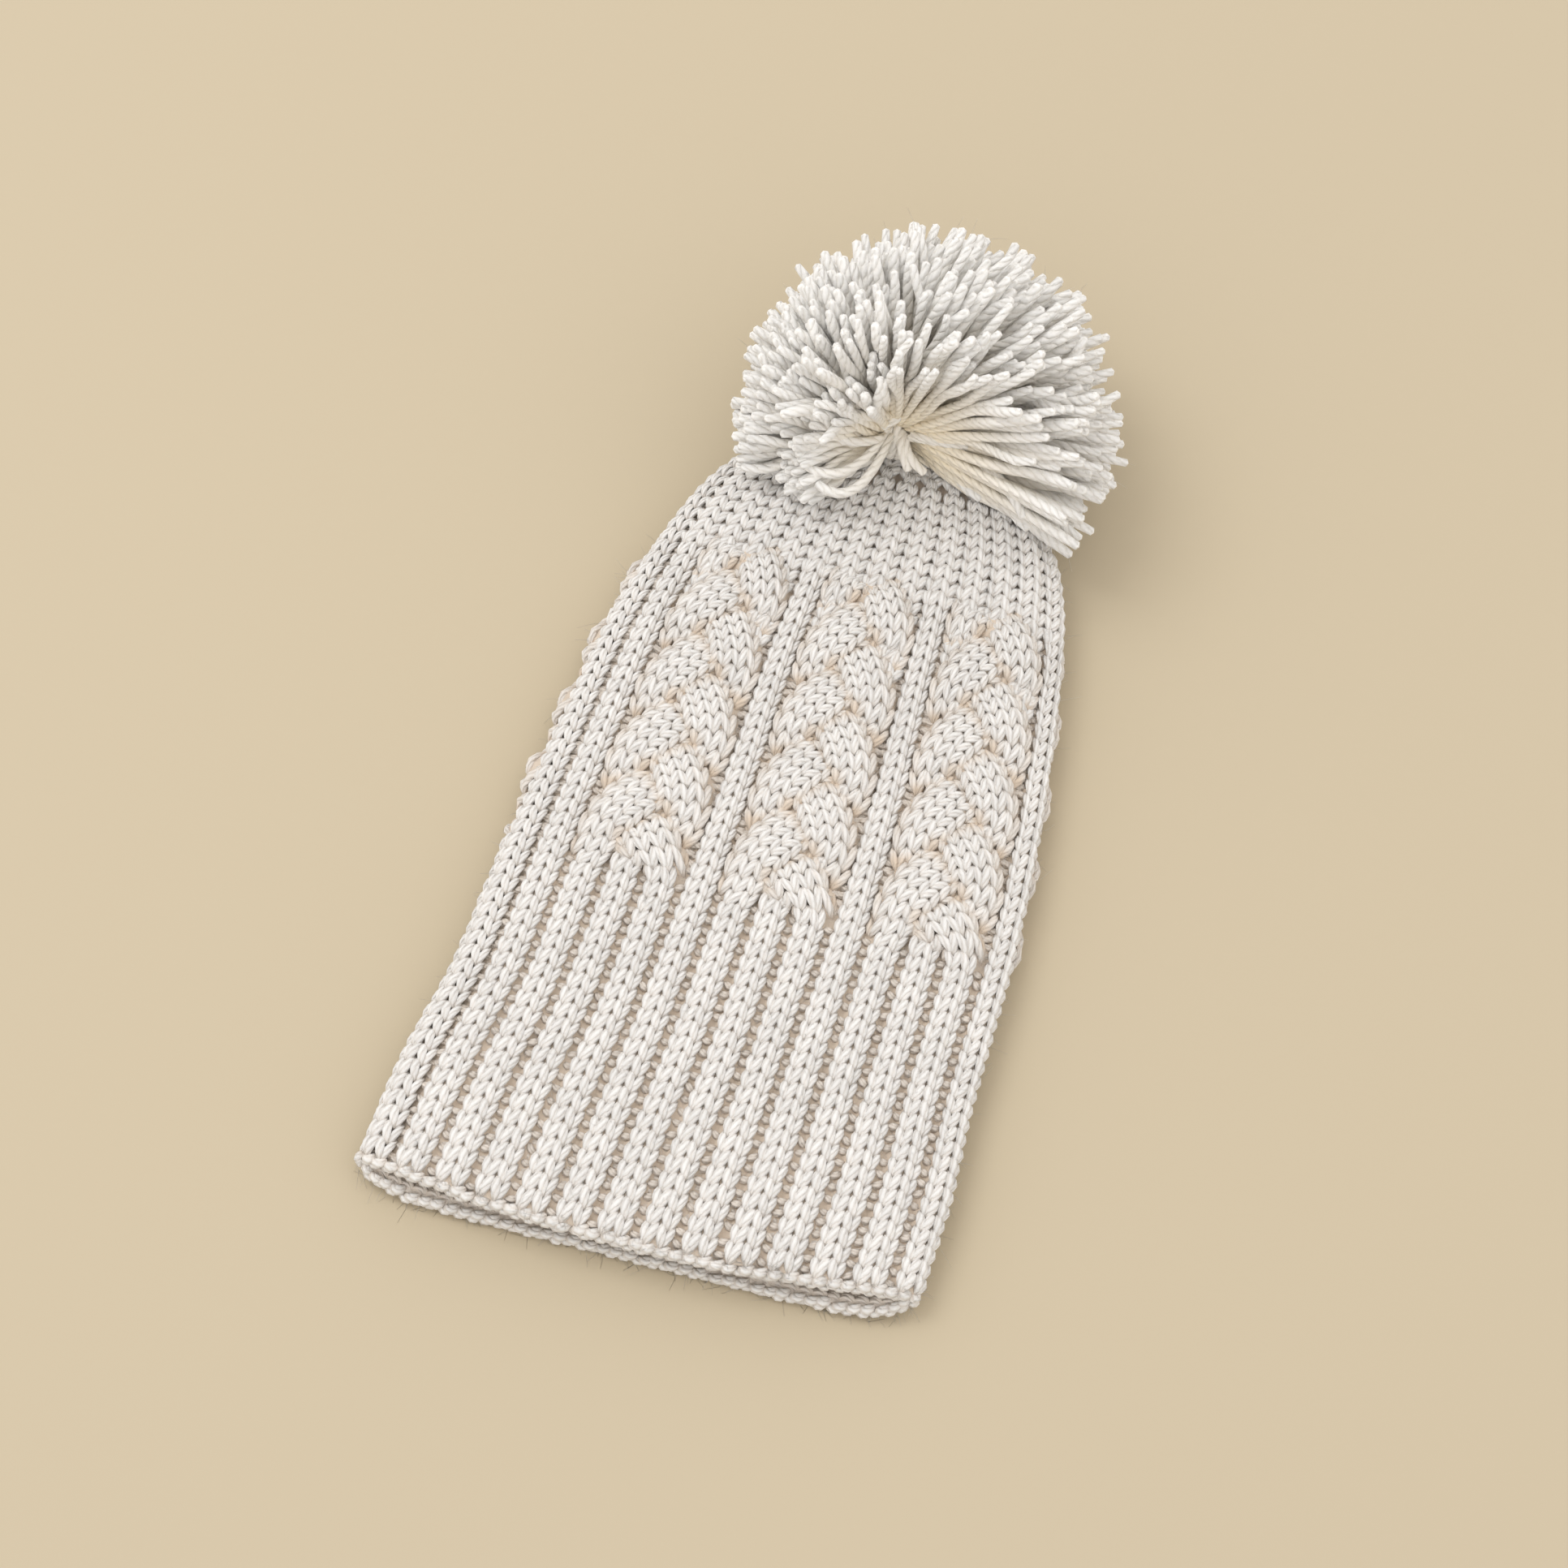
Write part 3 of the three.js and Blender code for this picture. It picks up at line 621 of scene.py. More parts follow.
PAIR_START = 7 * MM  # before the end of a zone
PAIR_END = 3 * MM  # past the end of a zone
LOW_RIB_HALF = 0.88  # half of a low rib, as a share of a column
LOW_RIB_FADE = 0.6
POMPOM_HAIR = 6 * MM


class Wales:
    """Stitch legs collected column by column, as arrays over all of their rings."""

    def __init__(self):
        self.parts = []

    def add(self, share, distance, out, radius, depth):
        self.parts.append((share, distance, out, radius, depth))

    def knit(self, name, random, sides=LEG_SIDES):
        """All collected legs as one mesh of closed spindles."""
        share, distance, out, radius, depth = (np.concatenate(column) for column in zip(*self.parts))
        tone = random.uniform(0, 1, len(share))
        out = out + random.normal(0, 0.09 * MM, (len(share), 1))
        share = share + random.normal(0, 0.0002, (len(share), 1))
        centres = lay(share, distance, out)
        normals = facing(share, distance)
        return yarn_tubes(
            name, centres, normals, radius, sides, finish_material("knit wool"), tone, np.clip(depth, 0, 1),
            0.95, FLOOR_CLEARANCE)


def girth(distance):
    """Girth of the tube's plain face at a distance."""
    loops = np.concatenate([GROUND, GROUND[:, :1]], axis=1)
    lengths = np.linalg.norm(np.diff(loops, axis=1), axis=-1).sum(axis=1)
    return np.interp(distance, np.linspace(0, TIP, GROUND_ROWS), lengths)


def straight_legs(
        wales, cable, place, width, start, end, sizes, height, keep=None, back=0.0, sideways=RIB_SIDEWAYS):
    """Rows of V stitches up one column. place, width and height are functions of distance along the column.

    Row r stands at start + r * pitch. Its two legs leave the middle of the column, lean outwards and reach a
    little past the next row, where they dip under it. back sets the leg on the right further in."""
    pitch, yarn = sizes.stitch_pitch, sizes.knit_yarn / 2
    rows = np.arange(start, end, pitch)[:, None]
    along = rows + (LEG_SHARE * LEG_REACH - LEG_TUCK)[None] * pitch
    repeat = girth(along) / CABLES
    for side in (-1, 1):
        across = place(along) + side * sideways * width(along) / 4
        base = height(across, along)
        thick = np.minimum(yarn, width(along) * repeat / 4 * LEG_FULLNESS)
        out = base + LEG_DIP - thick * LEG_SINK - (back if side > 0 else 0.0)
        radius = LEG_PROFILE * thick * (1 - (THINNER if back and side > 0 else 0.0))
        # painted shade along each leg, most at its ends
        depth = np.broadcast_to(LEG_PAINTED_SHADE, along.shape)
        good = np.ones(len(rows), bool) if keep is None else keep(across, along, base)
        share = girth_share(cable, across)
        wales.add(share[good], along[good], out[good], radius[good], depth[good])


def strand_legs(wales, cable, strand, column, first, last, sizes):
    """V stitches along one column of a plait's strand, square to the strand's own way.

    The strand's middle is followed by its arc length b. A point at b and at a sideways offset a lies at
    a * cos(lean) across and a * sin(lean) back along the fold. Stitches under another strand are left out."""
    pitch, yarn, rise = sizes.stitch_pitch, sizes.knit_yarn / 2, sizes.cable_rise
    grid = np.linspace(0, CABLE_END + LOBE_PITCH / 4, 900)
    lean = strand_path(strand, grid, rise)[1]
    arc = np.concatenate([[0], np.cumsum(np.hypot(1, (lean[1:] + lean[:-1]) / 2) * np.diff(grid))])
    end = arc[-1] if last is None else FIRST_ROW + last * pitch
    rows = np.arange(FIRST_ROW + first * pitch, end, pitch)[:, None]
    reach = rows + (LEG_SHARE * LEG_REACH - LEG_TUCK)[None] * pitch
    distance = np.interp(reach, arc, grid)
    distance += np.maximum(reach - arc[-1], 0)
    middle, lean, level = strand_path(strand, distance, rise)
    amount = plait_started(distance)
    ended = plait_ended(distance)
    spacing = 2 * WALE_HALF + (STRAND_COLUMN - 2 * WALE_HALF) * amount
    half = RIB_HALF + (STRAND_HALF - RIB_HALF) * amount
    repeat = girth(distance) / CABLES
    thick = np.minimum(yarn, spacing * repeat / 4 * LEG_FULLNESS)
    for side in (-1, 1):
        sideways = RIB_SIDEWAYS + (LEG_SIDEWAYS - RIB_SIDEWAYS) * amount
        offset = (column - 1.5) * spacing + side * sideways * spacing / 4
        across = middle + offset / np.hypot(1, lean)
        along = distance - offset * repeat * lean / np.hypot(1, lean)
        power = 2 + (LOBE_POWER - 2) * amount
        full = level * ridge(offset, half, power)
        base = full * (1 - ended) - END_SINK * ended
        others = [strand_path(k, along, rise) for k in range(3) if k != strand]
        over, near = (
            np.max([
                height * ridge(across - centre, widened * STRAND_HALF * np.hypot(1, slope), LOBE_POWER)
                for centre, slope, height in others], axis=0) * amount
            for widened in (1, SHADE_REACH))
        last_leg = (1 - amount) * (1.0 if column == 2 and side > 0 else 0.0)
        out = base + LEG_DIP - thick * LEG_SINK - SET_BACK * last_leg
        centre = LEG_RINGS // 2
        good = over[:, centre] < full[:, centre] + COVER_MARGIN
        share = girth_share(cable, across)
        radius = LEG_PROFILE * thick * (1 - THINNER * last_leg)
        # painted shade: where a higher neighbouring strand lies over this one, on the strand's edges, and at
        # the leg ends
        shade = ease(*SHADE_HEIGHTS, near - full) + EDGE_SHADE * amount * (offset / half) ** 4 + LEG_PAINTED_SHADE
        wales.add(share[good], along[good], out[good], radius[good], shade[good])


def straight_rib(wales, cable, middle, start, end, sizes):
    """A straight rib about its middle: two columns of V stitches on one ridge."""
    for side in (-1, 1):
        straight_legs(
            wales, cable, lambda t, column=middle + side * WALE_HALF: column + 0 * t,
            lambda t: 2 * WALE_HALF + 0 * t, start, end, sizes,
            lambda across, along: RIB_RISE * ridge(across - middle, RIB_HALF),
            back=SET_BACK if side > 0 else 0.0)


def knit_brim(sizes, random):
    """The ribs of the band, with one more rib on the knit that the left fold's cable stretches."""
    wales = Wales()
    end = FIRST_ROW + (BRIM_STITCHES - 0.5) * sizes.stitch_pitch
    for cable in range(CABLES):
        for strand in range(3):
            for column in (1, 2):
                strand_legs(wales, cable, strand, column, 0, BRIM_STITCHES, sizes)
        straight_rib(wales, cable, RIB_MIDDLE, FIRST_ROW, end, sizes)
    straight_rib(wales, None, CABLES * FOLD_RIB, FIRST_ROW, end, sizes)
    return wales.knit("brim_stitches", random)


def knit_cables(sizes, random):
    """The plaits and the ribs between them, from the band to the end of the cables."""
    wales = Wales()
    ribs = Wales()
    start = FIRST_ROW + BRIM_STITCHES * sizes.stitch_pitch
    for cable in range(CABLES):
        for strand in range(3):
            for column in range(4):
                strand_legs(wales, cable, strand, column, BRIM_STITCHES, None, sizes)
        straight_rib(ribs, cable, RIB_MIDDLE, start, CABLE_END, sizes)
    straight_rib(ribs, None, CABLES * FOLD_RIB, start, DISTANCES[10], sizes)
    return (wales.knit("cable_stitches", random),
            ribs.knit("crown_rib_stitches", random))


def knit_decreases(sizes, random):
    """Plain columns above the cables.

    Each zone of the crown has half as many columns as the one below it, and a pair of columns runs together
    at the end of its zone."""
    wales = Wales()
    ends = [zone[0] for zone in ZONES[1:]] + [LAST_ROW]

    def uncovered(across, along, base):
        centre = LEG_RINGS // 2
        plait = plait_height(np.mod(across, 1), along, sizes.cable_rise) * (1 - plait_ended(along))
        return plait[:, centre] < base[:, centre] + PLAIN_MARGIN

    for (start, count), end in zip(ZONES, ends):
        for cable in range(CABLES):
            for i in range(count):
                own, pair = (i + 0.5) / count, (i // 2 * 2 + 1) / count

                def place(t, own=own, pair=pair, end=end):
                    return own + (pair - own) * PAIRED * ease(end - PAIR_START, end + PAIR_END, t)

                def width(t, count=count, end=end):
                    return (1 - NARROWED * ease(end - PAIR_START, end + PAIR_END, t)) / count

                def low_knit(across, along, count=count):
                    ribs = ridge(np.mod(across, 2 / count) - 1 / count, LOW_RIB_HALF / count)
                    return RIB_RISE * ribs * (1 - LOW_RIB_FADE * ease(CABLE_END, TIP, along))

                hidden = own < 2 * CABLE_MIDDLE and count == FIRST_COUNT
                under = HIDDEN_ROWS * sizes.stitch_pitch if hidden else 0
                straight_legs(
                    wales, cable, place, width, start - under, end, sizes, low_knit,
                    uncovered if count == FIRST_COUNT else None, sideways=LEG_SIDEWAYS)
    return wales.knit("decrease_stitches", random)


def knit_purls(sizes, random):
    """Purl bumps in the grooves: short spindles laid across each row."""
    wales = Wales()
    sweep = np.linspace(-1, 1, LEG_RINGS)[None]
    spots = [(place, 0.0, SEAM) for place in GROOVE_PLACES]
    spots += [(place, SEAM, CABLE_END) for place in CABLE_GROOVES]
    spots += [(place, CABLE_END, DISTANCES[8]) for place in GROOVE_PLACES]
    grooves = [(cable, *spot) for cable in range(CABLES) for spot in spots]
    grooves += [(None, CABLES * FOLD_RIB + side * 0.125, 0.0, DISTANCES[8]) for side in (-1, 1)]
    for cable, place, start, end in grooves:
        step = sizes.stitch_pitch * (CABLE_BUMP_ROW if start == SEAM else BUMP_ROW)
        rows = np.arange(start + 3 * MM, end, step)[:, None]
        rows = rows + random.normal(0, 0.3 * MM, rows.shape)
        along = rows + 0.6 * MM * sweep ** 2 + random.normal(0, 0.5 * MM, rows.shape) * sweep
        across = place + BUMP_HALF * sweep + random.normal(0, 0.004, rows.shape)
        out = (-1.7 - 0.7 * sweep ** 2 + random.normal(0, 0.25, rows.shape)) * MM
        radius = (1.35 - 0.55 * sweep ** 2) * MM + 0 * rows
        # painted shade on the purl bumps down in the grooves, more at their ends
        depth = 0.5 + 0.4 * sweep ** 2 + 0 * rows
        wales.add(girth_share(cable, across), along, out, radius, depth)
    return wales.knit("groove_bumps", random, BUMP_SIDES)


def knit_edge(sizes, random):
    """The cast-on edge: two rows of small round loops along the rim of the mouth, and the rows behind it."""
    wales = Wales()
    count = CABLES * RIBS_PER_CABLE * EDGE_LOOPS
    sweep = np.linspace(-1, 1, LEG_RINGS)[None]
    spots = (np.arange(count)[:, None] + 0.5) / count
    for lean, out, size, shift in EDGE_ROWS:
        uneven = random.normal(0, 1, (count, 1))
        share = spots + (0.44 * sweep + 0.1 * uneven + shift) / count
        distance = (-0.1 + lean * sweep + 1.1 * sweep ** 2 + 0.3 * uneven) * MM + 0 * spots
        radius = (size * (1 + 0.06 * uneven) - 0.85 * sweep ** 2) * MM + 0 * spots
        # painted shade at the ends of the rim's loops
        wales.add(share, distance, out * MM + 0 * share, radius, 0.5 * sweep ** 2 + 0 * spots)
    for row in range(INNER_ROWS):
        share = spots + 0.55 * sweep / count + row % 2 * 0.5 / count
        distance = (3.2 + 4.6 * row - 1.1 * sweep ** 2) * MM + 0 * spots
        radius = (1.45 - 0.5 * sweep ** 2) * MM + 0 * spots
        # painted shade on the rows behind the rim, more at their ends
        wales.add(share, distance, -3.3 * MM + 0 * share, radius, 0.45 + 0.3 * sweep ** 2 + 0 * spots)
    return wales.knit("cast_on_edge", random)


def fine_hairs(name, bases, normals, length, material, random):
    """Loose fibres of the wool: base + way * length * s + bend * s squared, each as a thin tube."""
    count = len(bases)
    way = unit(0.7 * normals + random.normal(0, 0.6, bases.shape))
    reach = length * random.uniform(0.5, 1.2, (count, 1, 1))
    bend = random.normal(0, 0.45, (count, 1, 3)) * reach
    s = np.linspace(0, 1, HAIR_RINGS)[None, :, None]
    path = bases[:, None] + way[:, None] * reach * s + bend * s ** 2
    radii = np.broadcast_to(HAIR_RADIUS * (1 - 0.5 * s[..., 0]), path.shape[:2])
    side = np.broadcast_to(unit(np.cross(way, random.normal(0, 1, way.shape)))[:, None], path.shape)
    return yarn_tubes(
        name, path, side, radii, 3, material, random.uniform(0, 1, count), np.zeros(radii.shape), 1.0,
        FLOOR_CLEARANCE)


def knit_hairs(name, start, end, count, sizes, random):
    """Loose fibres all over a stretch of the knit, with more of them along the rim of the mouth."""
    places = random.uniform(0, CABLES, count)
    distance = random.uniform(start, end, count)
    if start <= 0:
        rim = count // RIM_HAIRS
        distance[:rim] = random.uniform(-1.5, 2.5, rim) * MM
    share = girth_share(0, places)
    bases = lay(share, distance, relief(np.mod(places, 1), distance, sizes.cable_rise) - 1.5 * MM)
    return fine_hairs(name, bases, facing(share, distance), KNIT_HAIR, finish_material("knit wool"), random)


def backing(name, start, end, inner_end, rows, sizes):
    """The inside of the knit: a wall whose outer face follows the ribs and cables just under the stitches.

    Its inner face has the low ribs of the wrong side. Both faces carry painted shade: the outer face, seen
    through the holes between the stitches, is mostly the painted shade colour, and the inner face a little
    less."""
    sides = CABLES * BACKING_SIDES
    places = np.arange(sides) / BACKING_SIDES
    distance = np.linspace(start, end, rows)[:, None]
    share = girth_share(0, places)[None] + 0 * distance
    place = np.mod(places, 1)[None] + 0 * distance
    sunk = 2.5 * MM * (1 - 0.8 * ease(0.85 * TIP, TIP, distance))
    outer = lay(share, distance + 0 * share, relief(place, distance + 0 * share, sizes.cable_rise) - sunk)
    inside = np.linspace(start, inner_end, rows)[:, None]
    low = 0.35 * MM * np.cos(2 * np.pi * 16 * place)
    low = low + 0.2 * MM * np.sin(2 * np.pi * inside / sizes.stitch_pitch)
    inner = lay(share, inside + 0 * share, -KNIT_WALL - 0.4 * MM + low)
    outer[..., 2] = np.maximum(outer[..., 2], FLOOR_CLEARANCE)
    inner[..., 2] = np.maximum(inner[..., 2], FLOOR_CLEARANCE + 0.6 * MM)
    # painted shade: 0.95 of the painted shade colour on the outer face, 0.6 on the inner face
    outer_face_shade = np.full(outer.shape[:2], 0.95)
    inner_face_shade = np.full(outer.shape[:2], 0.6)
    return closed_shell(name, outer, inner, finish_material("knit backing"), outer_face_shade, inner_face_shade)


# The pompom
PHOTO_SIZE = 1932
FOCAL_PIXELS = 4087
CAMERA_AZIMUTH = math.radians(17)
CAMERA_ELEVATION = math.radians(65)
MOUTH_PIXEL = (793, 1515)  # where the middle of the mouth shows
TIE_PIXEL = (1092, 529)  # where the tie shows


def camera_axes():
    """The camera's right, up and backward directions."""
    away = Vector((
        math.sin(CAMERA_AZIMUTH) * math.cos(CAMERA_ELEVATION),
        -math.cos(CAMERA_AZIMUTH) * math.cos(CAMERA_ELEVATION),
        math.sin(CAMERA_ELEVATION)))
    right = Vector((math.cos(CAMERA_AZIMUTH), math.sin(CAMERA_AZIMUTH), 0))
    return right, away.cross(right), away


BALL_SHIFT = np.array([11, 7, 2]) * MM  # the ball's middle from the tie
TIE_INSET = 7 * MM
TIE_HEIGHT = 38.5 * MM
FLOOR_PRESS = 7 * MM  # how far the lowest strands would reach under the floor without its push
PARTING_WAY = np.array([0.26, -0.87, 0.42])  # where the strands part, seen from the tie
PARTING_ANGLE = 50
STRAND_RINGS = 9
STRAND_SIDES = 6
LOW_WEDGE = 54  # no strand lies under the parting within this angle of it on the level
CLUMPING = 0.14  # how far a strand's end is drawn to its clump, as a share of the way
STRAND_BEND = 3.4 * MM
STRAND_WAVE = 2.2 * MM
STRAND_DROOP = 2.5 * MM
WAY_SPREAD = 0.03  # how uneven the strands' directions are
PARTING_WAVE = 3  # degrees by which the parting's edge waves
PARTING_WAVES = 5
PARTING_SPREAD = 1.5
LOW_WEDGE_TOP = 0.1
STRAND_REACH = (0.91, 1.04)  # shares of the ball that the strands reach
CUT_SHORT = 0.1  # share of the strands that are cut short
SHORT_REACH = 0.9
LEFT_ANGLE = 75  # strands beside the parting, on its left, lose a share of their length
LEFT_LEVEL = -0.2
LEFT_LOSS = 0.22
WALL_ANGLE = 22  # strands this close to the parting show down to their root
WALL_ROOT = 7 * MM
HIDDEN_ROOTS = (16, 26)  # where the others start, in millimetres from the tie
WAVE_TURNS = 1.3
STACKED = 2.5  # how many half yarns high the strands may lie on each other
STRAND_PROFILE = ((0, 0.3, 0.6, 0.93, 1.0), (0.62, 0.9, 1.0, 1.12, 0.85))  # share of the way, thickness
YARN_SPREAD = (0.88, 1.12)
MAP_STEP = 2 * MM
MAP_CELLS = 180
MAP_CORNER = np.array([-0.13, -0.1])
TIE_RING = (6.5 + 0.3 + 1.6) * MM
TIE_RINGS = 24
TIE_SIDES = 8


def tie_point():
    """Where the strands are tied: short of the crown's tip and above it."""
    tip = GROUND[-1, 0]
    return np.array([tip[0], tip[1] - TIE_INSET, TIE_HEIGHT])


def unit(vectors):
    """Vectors divided by their lengths."""
    return vectors / np.linalg.norm(vectors, axis=-1, keepdims=True)


def ball_directions(count):
    """Directions spread evenly over a sphere by turns of the golden angle."""
    level = 1 - 2 * (np.arange(count) + 0.5) / count
    turn = np.arange(count) * np.pi * (3 - math.sqrt(5))
    flat = np.sqrt(1 - level ** 2)
    return np.stack([flat * np.cos(turn), flat * np.sin(turn), level], axis=-1)


def crown_heights(rise):
    """Height of the knit over the floor on a map of small squares, and a function that reads it."""
    places, distance = np.meshgrid(np.arange(0, CABLES, 0.01), np.linspace(SEAM, TIP, 300))
    spots = lay(girth_share(0, places), distance, relief(np.mod(places, 1), distance, rise))
    cells = np.clip(((spots[..., :2] - MAP_CORNER) / MAP_STEP).astype(int), 0, MAP_CELLS - 1)
    heights = np.zeros((MAP_CELLS, MAP_CELLS))
    np.maximum.at(heights, (cells[..., 0].ravel(), cells[..., 1].ravel()), spots[..., 2].ravel())

    def read(points):
        cell = np.clip(((points[..., :2] - MAP_CORNER) / MAP_STEP).astype(int), 0, MAP_CELLS - 1)
        return heights[cell[..., 0], cell[..., 1]]

    return read


def pompom_strands(sizes, random):
    """Cut strands of yarn from the tie to a ball, bent a little, drawn together in clumps and laid on what is
    under them. A strand's middle is tie + way * reach * s + bend * s squared + a small wave."""
    tie = tie_point()
    way = ball_directions(sizes.strand_count)
    way = unit(way + random.normal(0, WAY_SPREAD, way.shape))
    parting = unit(PARTING_WAY)
    opening = np.degrees(np.arccos(np.clip(way @ parting, -1, 1)))
    waves = PARTING_WAVE * np.sin(PARTING_WAVES * np.arctan2(way[:, 0], way[:, 2]))
    edge = PARTING_ANGLE + waves + random.normal(0, PARTING_SPREAD, len(way))
    level = unit(way * [1, 1, 0])
    towards = np.degrees(np.arccos(np.clip(level @ unit(parting * [1, 1, 0]), -1, 1)))
    kept = (opening > edge) & ~((towards < LOW_WEDGE) & (way[:, 2] < LOW_WEDGE_TOP))
    way, opening = way[kept], opening[kept]
    count = len(way)
    ahead = way @ BALL_SHIFT
    radius = sizes.pompom_radius
    reach = ahead + np.sqrt(ahead ** 2 + radius ** 2 - BALL_SHIFT @ BALL_SHIFT)
    reach *= random.uniform(*STRAND_REACH, count)
    reach *= np.where(random.uniform(0, 1, count) < CUT_SHORT, SHORT_REACH, 1)
    left = (towards[kept] < LEFT_ANGLE) & (level[kept][:, 0] < LEFT_LEVEL)
    reach *= 1 - LEFT_LOSS * left
    centres = unit(random.normal(0, 1, (sizes.clump_count, 3)))
    nearest = centres[np.argmax(way @ centres.T, axis=1)]
    wall = opening < PARTING_ANGLE + WALL_ANGLE
    root = np.where(wall, WALL_ROOT, random.uniform(*HIDDEN_ROOTS, count) * MM)
    s = np.linspace(0, 1, STRAND_RINGS)[None, :, None]
    start = (root / reach)[:, None, None]
    s = start + (1 - start) * s
    side = unit(np.cross(way, random.normal(0, 1, way.shape)))
    other = np.cross(way, side)
    bend = side * random.normal(0, STRAND_BEND, (count, 1)) + (nearest - way) * reach[:, None] * CLUMPING
    bend[:, 2] -= STRAND_DROOP * np.hypot(way[:, 0], way[:, 1])
    wave = np.sin(2 * np.pi * (s * WAVE_TURNS + random.uniform(0, 1, (count, 1, 1)))) * s
    path = (way * reach[:, None])[:, None] * s + bend[:, None] * s ** 2
    path += other[:, None] * wave * random.normal(0, STRAND_WAVE, (count, 1, 1))
    press = (TIE_HEIGHT + FLOOR_PRESS) / radius
    path[..., 2] = np.where(path[..., 2] < 0, path[..., 2] * press, path[..., 2])
    path += tie
    yarn = sizes.pompom_yarn / 2
    bed = np.maximum(crown_heights(sizes.cable_rise)(path), 0)
    stack = yarn * (1 + STACKED * random.uniform(0, 1, (count, 1)))
    path[..., 2] = np.maximum(path[..., 2], bed + stack)
    profile = np.interp(s[..., 0], *STRAND_PROFILE)
    radii = profile * yarn * random.uniform(*YARN_SPREAD, (count, 1))
    # painted shade: strands turn to the painted shade colour towards the tie, standing in for shade and light
    # bounced among them
    depth = np.clip(1.2 - 1.3 * s[..., 0], 0, 1) ** 1.2
    normals = np.broadcast_to(side[:, None], path.shape)
    wool = finish_material("pompom wool")
    strands = yarn_tubes(
        "pompom_strands", path, normals, radii, STRAND_SIDES, wool, random.uniform(0, 1, count), depth, 1.0,
        FLOOR_CLEARANCE)
    chosen = random.integers(0, count, sizes.hair_count // 3)
    ring = random.integers(STRAND_RINGS // 2, STRAND_RINGS, len(chosen))
    return strands, fine_hairs("pompom_hairs", path[chosen, ring], way[chosen], POMPOM_HAIR, wool, random)


# Root, middle and tip of single strands, in millimetres from the tie: to the photo's right, up and near
TIE_ENDS = (
    ((3, -1, 7), (2.5, -7, 9), (5, -14, 7)),
    ((4, -2, 7), (5, -9, 9), (10.5, -15, 7)),
)
LOOSE_STRANDS = (
    ((-4, 0, 13), (2, 4, 16), (9.5, 9, 17)),
    ((8, 3, 12), (12, 9, 16), (14.5, 24.5, 20)),
    ((-1, -2, 9), (-13.5, -21, 13), (-27, -19.5, 14)),
    ((-3, -2, 9), (-17, -15, 13), (-30.5, -13.5, 15)),
    ((-4, -3, 10), (-15, -5, 15), (-27.5, -1, 17)),
    ((5, -3, 9), (29.5, -12, 15), (44.5, -31, 14)),
    ((6, -2, 10), (20, -6, 16), (33, -8, 18)),
    ((3, 3, 10), (1, 18, 19), (-4, 27, 22)),
    ((1, 3, 10), (-7, 14, 18), (-9, 28, 20)),
)


def photo_curves(table, steps):
    """Curves (1 - t)^2 a + 2 t (1 - t) b + t^2 c through a table of points given along the camera's axes."""
    right, up, away = (np.array(axis) for axis in camera_axes())
    t = np.linspace(0, 1, steps)[:, None]
    curves = []
    for points in table:
        a, b, c = ((right * point[0] + up * point[1] + away * point[2]) * MM for point in points)
        b = 2 * b - (a + c) / 2
        curves.append(tie_point() + (1 - t) ** 2 * a + 2 * t * (1 - t) * b + t ** 2 * c)
    return np.stack(curves)


def loose_strands(sizes, random):
    """Single strands that lie across the others, over the tie and down onto the crown."""
    centres = photo_curves(LOOSE_STRANDS, STRAND_RINGS)
    yarn = sizes.pompom_yarn / 2
    bed = crown_heights(sizes.cable_rise)(centres)
    centres[..., 2] = np.maximum(centres[..., 2], bed + 1.2 * yarn)
    radii = np.interp(np.linspace(0, 1, STRAND_RINGS), (0, 0.3, 0.93, 1), (0.8, 1.0, 1.1, 0.9)) * yarn
    radii = np.broadcast_to(radii, centres.shape[:2])
    normals = np.broadcast_to(np.array(camera_axes()[2]), centres.shape)
    # painted shade near each strand's root, fading to none at its tip
    depth = np.broadcast_to(np.linspace(0.3, 0, STRAND_RINGS), radii.shape)
    return yarn_tubes(
        "loose_strands", centres, normals, radii, STRAND_SIDES, finish_material("pompom wool"),
        random.uniform(0, 1, len(centres)), depth, 1.0, FLOOR_CLEARANCE)


def tie_yarn(sizes, random):
    """The tie: two wraps of yarn round the waist, and its cut ends on curves through three points each."""
    tie = tie_point()
    parting = unit(PARTING_WAY)
    bundle = unit(np.cross([0, parting[2], -parting[1]], parting))
    across = np.cross(parting, bundle)
    turn = np.linspace(0, 2 * np.pi * 2, TIE_RINGS)[:, None]
    ring = (parting * np.cos(turn) + across * np.sin(turn)) * TIE_RING
    wraps = tie + ring + bundle * (turn / (2 * np.pi) - 1) * 3 * MM
    centres = np.stack([wraps, *photo_curves(TIE_ENDS, TIE_RINGS)])
    radii = np.full(centres.shape[:2], sizes.pompom_yarn / 2 * 0.95)
    normals = np.broadcast_to(bundle + 0.2 * across, centres.shape)
    # painted shade over the whole tie, which sits among the strands
    depth = np.full(radii.shape, 0.25)
    return yarn_tubes(
        "tie_yarn", centres, normals, radii, TIE_SIDES, finish_material("pompom wool"),
        np.full(len(centres), 0.5), depth, 1.0, FLOOR_CLEARANCE)


